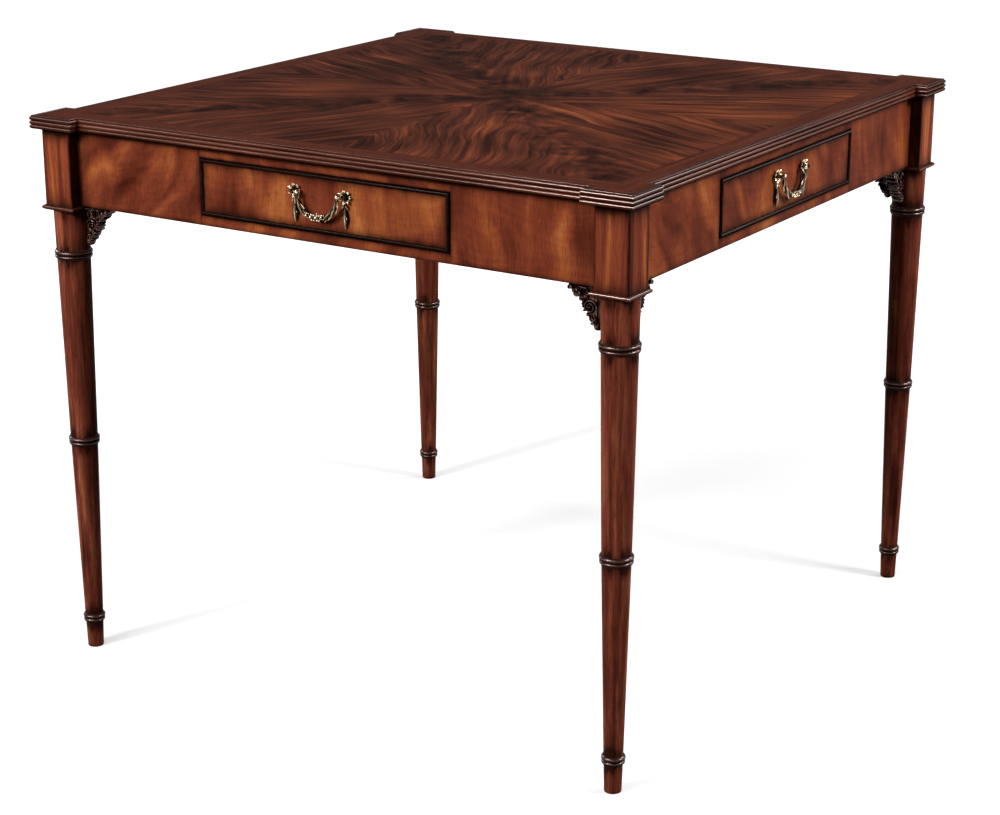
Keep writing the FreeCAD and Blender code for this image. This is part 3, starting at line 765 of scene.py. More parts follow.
    def shade(self, tree: Tree, place: Node) -> Node:
        """Darkening of the knot in the middle and of the seams.

        Args:
            tree: The material's node tree.
            place: Place in millimetres.

        Returns:
            A node whose first output goes from 0, clean wood, to 1, fully darkened.
        """
        mirrored = add_node(tree, "ShaderNodeVectorMath", {0: place}, operation="ABSOLUTE")
        parts = add_node(tree, "ShaderNodeSeparateXYZ", {0: mirrored})
        nearest = add_node(tree, "ShaderNodeMath", {
            0: parts.outputs["X"], 1: parts.outputs["Y"],
        }, operation="MINIMUM")
        seam = add_node(tree, "ShaderNodeMapRange", {
            "Value": nearest, "From Min": self.seam_mm * 0.3, "From Max": self.seam_mm,
            "To Min": 0.45, "To Max": 0.0,
        }, clamp=True)
        total = add_node(tree, "ShaderNodeMath", {
            0: parts.outputs["X"], 1: parts.outputs["Y"],
        }, operation="ADD")
        knot = add_node(tree, "ShaderNodeMapRange", {
            "Value": total, "From Max": self.knot_mm, "To Min": 0.55, "To Max": 0.0,
        }, clamp=True, interpolation_type="SMOOTHSTEP")
        return add_node(tree, "ShaderNodeMath", {0: seam, 1: knot}, operation="MAXIMUM")


@dataclass(frozen=True)
class BandingMahogany(Mahogany):
    """Straight mahogany banding round the top, laid along each side and mitred at the corners.

    The eye gets a plain, redder band with fine streaks along it and a thin dark line on its inner side.
    """

    inner_half_mm: float = 406.2
    # The inlaid line is half a millimetre. It is drawn wider, so that it shows.
    line_mm: float = 1.3

    def place(self, tree: Tree) -> Socket:
        """Place in millimetres with Z along the nearer side of the top."""
        flat = super().place(tree)
        parts = add_node(tree, "ShaderNodeSeparateXYZ", {0: flat})
        x, y = parts.outputs["X"], parts.outputs["Y"]
        far_x = add_node(tree, "ShaderNodeMath", {0: x}, operation="ABSOLUTE")
        far_y = add_node(tree, "ShaderNodeMath", {0: y}, operation="ABSOLUTE")
        on_right = add_node(tree, "ShaderNodeMath", {0: far_x, 1: far_y}, operation="GREATER_THAN")
        by_front = add_node(tree, "ShaderNodeCombineXYZ", {"X": y, "Z": x})
        by_right = add_node(tree, "ShaderNodeCombineXYZ", {"X": x, "Z": y})
        return add_node(tree, "ShaderNodeMix", {
            0: on_right, 4: by_front, 5: by_right,
        }, data_type="VECTOR").outputs[1]

    def shade(self, tree: Tree, place: Socket) -> Node:
        """The dark line beside the veneer.

        Args:
            tree: The material's node tree.
            place: Place in millimetres, with X across the band.

        Returns:
            A node whose first output goes from 0, clean wood, to 1, fully darkened.
        """
        parts = add_node(tree, "ShaderNodeSeparateXYZ", {0: place})
        out = add_node(tree, "ShaderNodeMath", {0: parts.outputs["X"]}, operation="ABSOLUTE")
        return add_node(tree, "ShaderNodeMapRange", {
            "Value": out, "From Min": self.inner_half_mm + self.line_mm * 0.6,
            "From Max": self.inner_half_mm + self.line_mm, "To Min": 0.8, "To Max": 0.0,
        }, clamp=True)


@dataclass(frozen=True)
class MouldedMahogany(Mahogany):
    """Mahogany mouldings, stained dark and rubbed up on top.

    The eye gets a sharp line of light along the upper side of each bead, over dull dark red-brown flanks.
    """

    # Dark colour of the pores, and of the painted shade and grime.
    burnish: str = "#0c0504"
    pore_share: float = 0.2
    gloss_tint: str = "#ffdcd4"
    # Upward slope of the surface at which the polish begins, and at which it is full.
    polish_slope: tuple[float, float] = (-0.05, 0.3)

    def stretch(self, across_mm: float, along_mm: float) -> Scale:
        """Scale that draws a pattern out along the mouldings, which lie level."""
        return (1 / along_mm, 1 / along_mm, 1 / across_mm)

    def polish(self, tree: Tree) -> Node:
        """Polish that dies away on flanks and undersides.

        Args:
            tree: The material's node tree.

        Returns:
            A node whose first output goes from 0, dull, up to the finish's full gloss.
        """
        coordinates = add_node(tree, "ShaderNodeTexCoord")
        slope = add_node(tree, "ShaderNodeSeparateXYZ", {0: coordinates.outputs["Normal"]})
        return add_node(tree, "ShaderNodeMapRange", {
            "Value": slope.outputs["Z"], "From Min": self.polish_slope[0], "From Max": self.polish_slope[1],
            "To Max": self.specular,
        }, clamp=True)

    def dress(self, tree: Tree, shader: Node) -> None:
        """Add the wood's own nodes and the polish.

        Args:
            tree: The material's node tree.
            shader: Its shader node.
        """
        super().dress(tree, shader)
        tree.links.new(self.polish(tree).outputs[0], shader.inputs["Specular IOR Level"])


@dataclass(frozen=True)
class CarvedMahogany(MouldedMahogany):
    """Carved mahogany, stained nearly black and polished.

    The eye gets black hollows, dark with stain and painted shade, and brown high parts, with small sharp
    lights on every bead and fold.
    """

    hollow_mm: float = 8.0

    def shade(self, tree: Tree, place: Node) -> Node:
        """Darkening in the hollows: painted shade, and stain that has gathered there.

        Args:
            tree: The material's node tree.
            place: Place in millimetres, not used here.

        Returns:
            A node whose first output goes from 0, open wood, to 1, full painted shade and stain.
        """
        # Painted shade: the hollows are darkened by ambient occlusion.
        open_share = add_node(tree, "ShaderNodeAmbientOcclusion", {
            "Distance": self.hollow_mm * MM,
        }, samples=8)
        return add_node(tree, "ShaderNodeMapRange", {
            "Value": open_share.outputs["AO"], "From Min": 0.45, "From Max": 0.95,
            "To Min": 1.0, "To Max": 0.0,
        }, clamp=True)

    def polish(self, tree: Tree) -> Node:
        """Polish that dies away in the hollows too.

        Args:
            tree: The material's node tree.

        Returns:
            A node whose first output goes from 0, dull, up to the finish's full gloss.
        """
        open_share = add_node(tree, "ShaderNodeAmbientOcclusion", {
            "Distance": self.hollow_mm * MM,
        }, samples=8)
        return add_node(tree, "ShaderNodeMapRange", {
            "Value": open_share.outputs["AO"], "From Min": 0.5, "From Max": 0.95,
            "To Max": super().polish(tree),
        }, clamp=True)


@dataclass(frozen=True)
class DrawerWood(Finish):
    """Plain sawn and planed hardwood of the parts inside, sealed but not stained to match.

    The eye gets a dull light brown with straight streaks and a dry surface.
    """

    stops: Stops
    grain: Vector
    streak_mm: float = 5.0
    streak_length_mm: float = 160.0

    def dress(self, tree: Tree, shader: Node) -> None:
        """Add straight streaks along the grain and a dry gloss.

        Args:
            tree: The material's node tree.
            shader: Its shader node.
        """
        coordinates = add_node(tree, "ShaderNodeTexCoord")
        along = 1 / (self.streak_length_mm * MM)
        across = 1 / (self.streak_mm * MM)
        scale = [along if part else across for part in self.grain]
        stretched = add_node(tree, "ShaderNodeMapping", {
            "Vector": coordinates.outputs["Object"], "Scale": scale,
        })
        streaks = add_node(tree, "ShaderNodeTexNoise", {
            "Vector": stretched, "Scale": 1.0, "Detail": 5.0, "Roughness": 0.6, "Distortion": 0.3,
        })
        wood = add_node(tree, "ShaderNodeValToRGB", {"Fac": streaks}, stops=self.stops)
        rough = add_node(tree, "ShaderNodeMapRange", {"Value": streaks, "To Min": 0.5, "To Max": 0.7})
        uneven = add_node(tree, "ShaderNodeBump", {
            "Height": streaks, "Strength": 0.15, "Distance": 0.2 * MM,
        })
        tree.links.new(wood.outputs[0], shader.inputs["Base Color"])
        tree.links.new(rough.outputs[0], shader.inputs["Roughness"])
        tree.links.new(uneven.outputs[0], shader.inputs["Normal"])
        shader.inputs["Specular IOR Level"].default_value = 0.3


@dataclass(frozen=True)
class AntiqueBrass(Finish):
    """Cast brass, darkened by age in its hollows and rubbed bright on its high parts.

    The eye gets pale gold tips and edges, with brown-black between them.
    """

    bright: str = "#e2cfb0"
    worn: str = "#5a4733"
    patina: str = "#0d0a08"
    hollow_mm: float = 3.0
    blotch_mm: float = 4.0
    patina_share: float = 0.8

    def dress(self, tree: Tree, shader: Node) -> None:
        """Add bright high parts, dark hollows and an uneven gloss.

        Args:
            tree: The material's node tree.
            shader: Its shader node.
        """
        coordinates = add_node(tree, "ShaderNodeTexCoord")
        blotches = add_node(tree, "ShaderNodeTexNoise", {
            "Vector": coordinates.outputs["Object"], "Scale": 1 / (self.blotch_mm * MM),
            "Detail": 4.0, "Roughness": 0.65,
        })
        burnish = add_node(tree, "ShaderNodeAttribute", attribute_name="burnish")
        open_share = add_node(tree, "ShaderNodeAmbientOcclusion", {
            "Distance": self.hollow_mm * MM,
        }, samples=8)
        rubbed = add_node(tree, "ShaderNodeMath", {
            0: burnish.outputs["Fac"], 1: -self.patina_share, 2: open_share.outputs["AO"],
        }, operation="MULTIPLY_ADD")
        height = add_node(tree, "ShaderNodeMath", {
            0: blotches, 1: 0.5, 2: rubbed,
        }, operation="MULTIPLY_ADD")
        wear = add_node(tree, "ShaderNodeMapRange", {"Value": height, "From Min": 0.5, "From Max": 1.3})
        metal = add_node(tree, "ShaderNodeValToRGB", {
            "Fac": wear,
        }, stops=((0.0, self.patina), (0.55, self.worn), (1.0, self.bright)))
        rough = add_node(tree, "ShaderNodeMapRange", {
            "Value": height, "From Min": 0.6, "From Max": 1.3, "To Min": 0.45, "To Max": 0.24,
        })
        uneven = add_node(tree, "ShaderNodeBump", {
            "Height": blotches, "Strength": 0.2, "Distance": 0.2 * MM,
        })
        tree.links.new(metal.outputs[0], shader.inputs["Base Color"])
        tree.links.new(rough.outputs[0], shader.inputs["Roughness"])
        tree.links.new(uneven.outputs[0], shader.inputs["Normal"])
        shader.inputs["Metallic"].default_value = 1.0


@dataclass(frozen=True)
class ZincSteel(Finish):
    """Bright zinc plate on steel fasteners.

    The eye gets a cool grey with a faint mottle of crystals.
    """

    crystal_mm: float = 1.5
    stops: Stops = ((0.3, "#8e9196"), (0.7, "#b9bcc0"))

    def dress(self, tree: Tree, shader: Node) -> None:
        """Add the mottle of the plate to its colour and gloss.

        Args:
            tree: The material's node tree.
            shader: Its shader node.
        """
        coordinates = add_node(tree, "ShaderNodeTexCoord")
        mottle = add_node(tree, "ShaderNodeTexNoise", {
            "Vector": coordinates.outputs["Object"], "Scale": 1 / (self.crystal_mm * MM), "Detail": 3.0,
        })
        plate = add_node(tree, "ShaderNodeValToRGB", {"Fac": mottle}, stops=self.stops)
        rough = add_node(tree, "ShaderNodeMapRange", {"Value": mottle, "To Min": 0.3, "To Max": 0.5})
        tree.links.new(plate.outputs[0], shader.inputs["Base Color"])
        tree.links.new(rough.outputs[0], shader.inputs["Roughness"])
        shader.inputs["Metallic"].default_value = 1.0


@dataclass(frozen=True)
class Finishes:
    """The finishes of the table."""

    crotch: Finish = CrotchMahogany("crotch_mahogany_veneer", Slot.FLAME, (
        (0.0, "#1f0e0a"), (0.3, "#3b1d14"), (0.55, "#572c1e"), (0.8, "#763c25"), (1.0, "#915130"),
    ))
    banding: Finish = BandingMahogany("mahogany_banding", Slot.PLAIN, (
        (0.0, "#361911"), (0.5, "#51271c"), (1.0, "#663625"),
    ), streak_mm=4.0)
    flame: Finish = FlameMahogany("flame_mahogany_veneer", Slot.FLAME, (
        (0.0, "#431910"), (0.3, "#622c1c"), (0.55, "#7d3b25"), (0.8, "#99512c"), (1.0, "#b06838"),
    ))
    plain: Finish = Mahogany("turned_mahogany", Slot.PLAIN, (
        (0.0, "#4c1d17"), (0.5, "#823e2d"), (1.0, "#b06647"),
    ), streak_mm=9.0, burnish_spread=(0.0, 1.8), patch_length_mm=70.0)
    post: Finish = Mahogany("striped_post_mahogany", Slot.PLAIN, (
        (0.0, "#4c1d14"), (0.35, "#6f3224"), (0.6, "#8b442b"), (0.8, "#ae6032"), (1.0, "#c47a40"),
    ), streak_mm=13.0, streak_length_mm=300.0)
    dark: Finish = MouldedMahogany("moulded_dark_mahogany", Slot.DARK, (
        (0.0, "#35180f"), (0.5, "#51291d"), (1.0, "#6e3e2c"),
    ), specular=0.5, roughness=0.13)
    ring: Finish = MouldedMahogany("turned_ring_mahogany", Slot.DARK, (
        (0.0, "#27120b"), (0.5, "#3e2016"), (1.0, "#583224"),
    ), specular=1.0, roughness=0.24)
    # The bead and the carving get a near-black colour for their pores and their painted shade and grime.
    bead: Finish = MouldedMahogany("blackened_bead_mahogany", Slot.DARK, (
        (0.0, "#140907"), (0.5, "#1f100b"), (1.0, "#2d1811"),
    ), burnish="#050302", specular=0.12, roughness=0.16)
    carved: Finish = CarvedMahogany("carved_black_mahogany", Slot.CARVED, (
        (0.0, "#271410"), (0.5, "#46281f"), (1.0, "#683f31"),
    ), burnish="#050302", specular=1.0, roughness=0.17, polish_slope=(-0.4, 0.25))
    inside_x: Finish = DrawerWood("inside_wood_along_x", Slot.SECONDARY, INSIDE_WOOD, Vector((1, 0, 0)))
    inside_y: Finish = DrawerWood("inside_wood_along_y", Slot.SECONDARY, INSIDE_WOOD, Vector((0, 1, 0)))
    inside_z: Finish = DrawerWood("inside_wood_upright", Slot.SECONDARY, INSIDE_WOOD, Vector((0, 0, 1)))
    brass: Finish = AntiqueBrass("antique_cast_brass", Slot.BRASS)
    steel: Finish = ZincSteel("zinc_plated_steel", Slot.STEEL)


FINISHES = Finishes()


def add_piece(name: str, mesh: Mesh, finish: Finish, body: str, nodes: Sequence[str],
              crease: float = 32.0, more: Sequence[Finish] = ()) -> None:
    """Show a mesh as a finished piece.

    Args:
        name: Name of the piece.
        mesh: Its mesh, in place.
        finish: Finish of the piece, or of its faces with coat 0.
        body: CAD body that it moves with.
        nodes: CAD nodes that it stands for.
        crease: Angle in degrees past which an edge stays sharp.
        more: Finishes of the faces with coats 1 and on.
    """
    coats = [polygon.material_index for polygon in mesh.polygons]
    mesh.materials.clear()
    for coat in (finish, *more):
        mesh.materials.append(coat.material())
    mesh.polygons.foreach_set("material_index", coats)
    mesh.shade_smooth()
    mesh.set_sharp_from_angle(angle=math.radians(crease))
    piece = bpy.data.objects.new(name, mesh)
    bpy.context.scene.collection.objects.link(piece)
    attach(piece, body)
    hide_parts(*nodes)
    LOG.info("%s: %d faces on %s, for %s", name, len(mesh.polygons), body, ", ".join(nodes))


# Sizes that several pieces share

@dataclass(frozen=True)
class TableSizes:
    """Sizes that several pieces share, in metres, taken from the frame's nodes where they show there."""

    ear_length: float = 71 * MM
    edge_overhang: float = 11 * MM
    post_proud: float = 16 * MM
    top: float = field(default_factory=lambda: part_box("edge_moulding_front")[1].z)
    underside: float = field(default_factory=lambda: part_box("edge_moulding_front")[0].z)
    ear_half: float = field(default_factory=lambda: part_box("edge_moulding_front")[1].x)
    core_half: float = field(default_factory=lambda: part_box("top_core")[1].x)
    apron_face: float = field(default_factory=lambda: -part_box("apron_front_right_panel")[0].y)
    apron_bottom: float = field(default_factory=lambda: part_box("apron_front_right_panel")[0].z)
    opening_half: float = field(default_factory=lambda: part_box("apron_front_right_panel")[0].x)
    post_inner: float = field(default_factory=lambda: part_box("apron_front_right_panel")[1].x)
    shoulder: float = field(default_factory=lambda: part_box("leg_collars")[0].z)
    collar_outer: float = field(default_factory=lambda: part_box("leg_collars")[1].x)

    @property
    def edge_half(self) -> float:
        """Half of the top's width between its ears."""
        return self.apron_face + self.edge_overhang

    @property
    def ear_start(self) -> float:
        """Distance from the middle of a side to its ear."""
        return self.ear_half - self.ear_length

    @property
    def post_half(self) -> float:
        """Half of a post's width."""
        return (self.apron_face + self.post_proud - self.post_inner) / 2

    @property
    def leg_axis(self) -> float:
        """Distance of a leg's axis from the middle, along X and along Y."""
        return self.post_inner + self.post_half


# The top

@dataclass
class TableTop:
    """The top: veneer and banding on a core, and a reeded edge that steps out at the corners."""

    sizes: TableSizes
    reeds: int = 3
    reed_depth: float = 1.9 * MM
    fillet: float = 1.5 * MM
    lip: float = 0.5 * MM
    arc_steps: int = 8
    ear_burnish: float = 0.5

    def edge_profile(self) -> list[tuple[float, float, float]]:
        """Section of the edge.

        Returns:
            Distance in from the outer face, height, and darkening of each point, from the bottom up and
            back.
        """
        sizes = self.sizes
        half_reed = (sizes.top - sizes.underside - self.fillet) / self.reeds / 2
        radius = (half_reed ** 2 + self.reed_depth ** 2) / (2 * self.reed_depth)
        spread = math.degrees(math.asin(half_reed / radius))
        profile = []
        for reed in range(self.reeds):
            centre = (radius, sizes.underside + half_reed * (2 * reed + 1))
            for inset, height in arc_points(centre, radius, 180 + spread, 180 - spread, self.arc_steps):
                # Painted shade: the grooves between the reeds are darkened.
                profile.append((inset, height, darkening(self.reed_depth - inset, self.reed_depth * 0.75)))
        # Painted shade under the lip, on the inner edge and on the underside.
        profile.append((self.reed_depth, sizes.top - self.lip, 0.5))
        lip_centre = (self.reed_depth + self.lip, sizes.top - self.lip)
        for inset, height in arc_points(lip_centre, self.lip, 180, 90, 3):
            profile.append((inset, height, 0.0))
        width = sizes.ear_half - sizes.core_half
        profile.append((width, sizes.top, 0.25))
        profile.append((width, sizes.underside, 0.6))
        return profile

    def edge_plan(self, inset: float) -> list[tuple[float, float]]:
        """Corners that the front edge runs through at a distance in from its outer face."""
        far = self.sizes.ear_half - inset
        near = self.sizes.edge_half - inset
        turn = self.sizes.ear_start + inset
        return [(-far, -far), (-turn, -far), (-turn, -near), (turn, -near), (turn, -far), (far, -far)]

    def edge(self) -> Shell:
        """Reeded edge of the front side."""
        profile = self.edge_profile()
        plans = [self.edge_plan(inset) for inset, _, _ in profile]
        loops = []
        for corner in range(len(plans[0])):
            loops.append([Vector((*plan[corner], height)) for plan, (_, height, _) in zip(plans, profile)])
        plain = [burnish for _, _, burnish in profile]
        # The ears are darker than the straight run of the edge.
        ear = [max(burnish, self.ear_burnish) for burnish in plain]
        shell = Shell()
        shell.loft(loops, [ear, ear, plain, plain, ear, ear])
        return shell

    def build(self) -> None:
        """Make the edges and dress the flat of the top."""
        edge = self.edge()
        for side in Side:
            mesh = edge.moved(side.turn, side.value).mesh("reeded_edge")
            add_piece(f"reeded_edge_{side.label}", mesh, FINISHES.dark, "table",
                      [f"edge_moulding_{side.label}"])
        FINISHES.crotch.put_on("top_veneer")
        FINISHES.banding.put_on("top_border")
        FINISHES.inside_x.put_on("top_core")


# The legs

@dataclass(frozen=True)
class TurnedPoint:
    """A point of a turned section: radius and height in metres, darkening, and whether it is on a ring."""

    radius: float
    height: float
    burnish: float
    polished: bool = False


@dataclass
class TurnedLegs:
    """Legs: a square post, a rounded collar, and a round tapering shaft with three double ring beads."""

    sizes: TableSizes
    ring_heights: tuple[float, float, float] = (44.3 * MM, 308.5 * MM, 573 * MM)
    ring_height: float = 12.6 * MM
    ring_proud: float = 3.15 * MM
    # Start and height of each bead of a ring, in mm, and its share of the full swell.
    ring_beads: tuple[tuple[float, float, float], ...] = ((0.8, 4.7, 0.85), (5.7, 6.0, 1.0))
    bead_flank: float = 72.0
    bead_steps: int = 8
    bead_burnish: float = 0.3
    groove: float = 1.1 * MM
    lip_low: float = 0.9 * MM
    lip_high: float = 1.0 * MM
    lip_height: float = 0.8 * MM
    ring_gap: float = 2 * MM
    ring_reach: float = 34 * MM
    floor_reach: float = 20 * MM
    floor_burnish: float = 0.7
    shaft_radii: tuple[float, float, float] = (12.3 * MM, 18.45 * MM, 23.75 * MM)
    toe_radius: float = 11 * MM
    toe_round: float = 1.2 * MM
    arris: float = 1.2 * MM
    arris_reach: float = 4 * MM
    inner_burnish: float = 0.95
    foot_burnish: float = 0.4
    head_burnish: float = 0.28
    foot_gap: float = 6 * MM
    foot_reach: float = 24 * MM
    head_gap: float = 7 * MM
    head_reach: float = 20 * MM
    nose_share: float = 0.42
    collar_tuck: float = 1 * MM
    sides: int = 56

    def shaft_radius(self, height: float) -> float:
        """Radius of the plain shaft at a height."""
        low, middle, _ = self.ring_heights
        low_radius, middle_radius, top_radius = self.shaft_radii
        if height < low:
            return self.toe_radius + (low_radius - self.toe_radius) * height / low
        if height < middle:
            return low_radius + (middle_radius - low_radius) * (height - low) / (middle - low)
        share = (height - middle) / (self.sizes.shoulder - middle)
        return middle_radius + (top_radius - middle_radius) * share

    def ring_profile(self, height: float) -> list[TurnedPoint]:
        """Points of one ring's section, from the bottom up."""
        low = height - self.ring_height / 2
        high = low + self.ring_height
        base = self.shaft_radius(height)
        under = base + self.lip_low
        over = base + self.lip_high
        flank = math.radians(self.bead_flank)
        # Painted shade: the lips where the ring meets the shaft and the grooves between its beads are
        # darkened, the crests less.
        profile = [TurnedPoint(under, low, 1.0, True), TurnedPoint(under, low + self.lip_height, 0.9, True)]
        for start, tall, proud in self.ring_beads:
            middle = low + (start + tall / 2) * MM
            rise = self.ring_proud * proud - self.groove
            for step in range(self.bead_steps + 1):
                angle = flank * (2 * step / self.bead_steps - 1)
                swell = (math.cos(angle) - math.cos(flank)) / (1 - math.cos(flank))
                level = middle + tall / 2 * MM * math.sin(angle) / math.sin(flank)
                burnish = self.bead_burnish + (1 - self.bead_burnish) * (1 - swell)
                profile.append(TurnedPoint(base + self.groove + rise * swell, level, burnish, True))
        profile.append(TurnedPoint(over, high - self.lip_height, 0.9, True))
        profile.append(TurnedPoint(over, high, 1.0, True))
        return profile

    def shaft_burnish(self, height: float) -> float:
        """Darkening of the plain shaft: painted shade and grime beside the rings, painted shadow under the
        collar, and more towards the floor.
        """
        edges = [ring + self.ring_height / 2 * way for ring in self.ring_heights for way in (-1, 1)]
        near = min(abs(height - edge) for edge in (*edges, self.sizes.shoulder))
        share = height / self.sizes.shoulder
        plain = self.foot_burnish + (self.head_burnish - self.foot_burnish) * share
        # Painted shade and grime beside the rings, and painted shadow under the collar.
        by_ring = darkening(near - self.ring_gap, self.ring_reach)
        by_floor = darkening(height, self.floor_reach) * self.floor_burnish
        return max(plain, by_ring, by_floor)

    def profile(self) -> list[TurnedPoint]:
        """Points of a shaft's section, from the floor up."""
        points = []
        # The rounded toe is darker.
        for angle in (0, 30, 60, 90):
            round_in = self.toe_round * (1 - math.sin(math.radians(angle)))
            round_up = self.toe_round * (1 - math.cos(math.radians(angle)))
            points.append(TurnedPoint(self.toe_radius - round_in, round_up, 0.8))
        start = self.toe_round
        margins = (3 * MM, 7 * MM, 13 * MM, 21 * MM, 34 * MM, 70 * MM)
        for ring in (*self.ring_heights, None):
            end = self.sizes.shoulder if ring is None else ring - self.ring_height / 2
            lines = margin_lines(start, end, margins)
            skip = 1 if start == self.toe_round else 0
            for height in lines[skip:]:
                points.append(TurnedPoint(self.shaft_radius(height), height, self.shaft_burnish(height)))
            if ring is not None:
                points.extend(self.ring_profile(ring))
                start = ring + self.ring_height / 2
        return points

    def post_loop(self, height: float, ends: float) -> tuple[Loop, list[float]]:
        """One level of a post.

        Args:
            height: Height of the level.
            ends: Darkening that the post's ends give it.

        Returns:
            The level's points round the leg's axis, and their darkening.
        """
        half = self.sizes.post_half
        inner = half - self.arris
        across = margin_lines(-inner, inner, margins=(1 * MM, 2.5 * MM, 5 * MM, 12 * MM))
        points = []
        burnish = []
        for quarter in range(4):
            turn = quarter_turn(quarter)
            # Painted shade: the two faces beside the aprons are nearly black.
            face = self.inner_burnish if quarter > 1 else 0.0
            for place in across:
                points.append(turn @ Vector((place, -half, height)))
                # The rounded corners are darkened, fully on the rounding itself.
                burnish.append(max(face, ends, darkening(inner - abs(place), self.arris_reach)))
            rounded = arc_points((inner, -inner), self.arris, -90, 0, 3)[1:-1]
            for x, y in rounded:
                points.append(turn @ Vector((x, y, height)))
                burnish.append(1.0)
        return points, burnish

    def leg(self) -> Shell:
        """Front right leg."""
        sizes = self.sizes
        axis = Matrix.Translation((sizes.leg_axis, -sizes.leg_axis, 0))
        shaft = Shell()
        profile = self.profile()
        angles = [2 * math.pi * side / self.sides for side in range(self.sides)]
        loops = []
        for point in profile:
            ring = [(point.radius * math.cos(a), point.radius * math.sin(a)) for a in angles]
            loops.append([Vector((x, y, point.height)) for x, y in ring])
        coats = [1 if point.polished else 0 for point in profile]
        shaft.loft(loops, [[point.burnish] * self.sides for point in profile], coats=coats)
        margins = (4 * MM, 7 * MM, 12 * MM, 20 * MM, 32 * MM)
        levels = []
        for height in margin_lines(sizes.shoulder, sizes.underside, margins):
            # The post is darker just above the collar, and painted shadow darkens it under the top's edge.
            near_foot = darkening(height - sizes.shoulder - self.foot_gap, self.foot_reach)
            near_top = darkening(sizes.underside - height - self.head_gap, self.head_reach)
            levels.append(self.post_loop(height, min(1.0, max(near_foot, near_top))))
        shaft.loft([points for points, _ in levels], [burnish for _, burnish in levels], cut=0.5,
                   coats=[2] * len(levels))
        return shaft.moved(axis)

    def collar(self) -> Shell:
        """Collar of the front right leg: a half-round nose mitred round the post."""
        sizes = self.sizes
        tall = sizes.apron_bottom - sizes.shoulder
        outer = sizes.collar_outer - sizes.leg_axis
        nose = tall * self.nose_share
        tucked = sizes.post_half - self.collar_tuck
        # Painted shade: the collar darkens from the middle of its nose to where it meets the post and the
        # apron.
        profile = [(tucked, sizes.shoulder, 0.8), (outer - nose, sizes.shoulder, 0.9)]
        for out, height in arc_points((outer - nose, sizes.shoulder + tall / 2), nose, -90, 90, 10):
            profile.append((out, height, 0.75 * abs(height - sizes.shoulder - tall / 2) / nose))
        profile.append((outer - nose, sizes.apron_bottom, 1.0))
        profile.append((tucked, sizes.apron_bottom, 1.0))
        loops = []
        for way_x, way_y in ((-1, -1), (1, -1), (1, 1), (-1, 1)):
            loops.append([Vector((sizes.leg_axis + way_x * out, -sizes.leg_axis + way_y * out, height))
                          for out, height, _ in profile])
        shell = Shell()
        shell.loft(loops, [[burnish for _, _, burnish in profile]] * 4, closed=True)
        return shell

    def build(self) -> None:
        """Make the four legs and their collars."""
        leg = self.leg()
        collar = self.collar()
        collars = Shell()
        for corner in Corner:
            mesh = leg.moved(corner.turn, corner.value).mesh("turned_leg")
            add_piece(f"turned_leg_{corner.label}", mesh, FINISHES.plain, "table",
                      [f"leg_{corner.label}"], more=(FINISHES.ring, FINISHES.post))
            collars.add(collar, corner.turn, corner.value)
        add_piece("post_collars", collars.mesh("post_collars"), FINISHES.dark, "table", ["leg_collars"])


# The carved brackets

@dataclass(frozen=True)
class Scroll:
    """A scroll of a carving: centre, radii, angles that it winds between, and bar, in mm and degrees."""

    out: float
    down: float
    outer: float
    inner: float
    start: float
    end: float
    bar: float


@dataclass(frozen=True)
class CarvedLeaf:
    """A leaf of a carving: stalk, direction in degrees below level, length and width, in mm."""

    out: float
    down: float
    angle: float
    length: float
    width: float


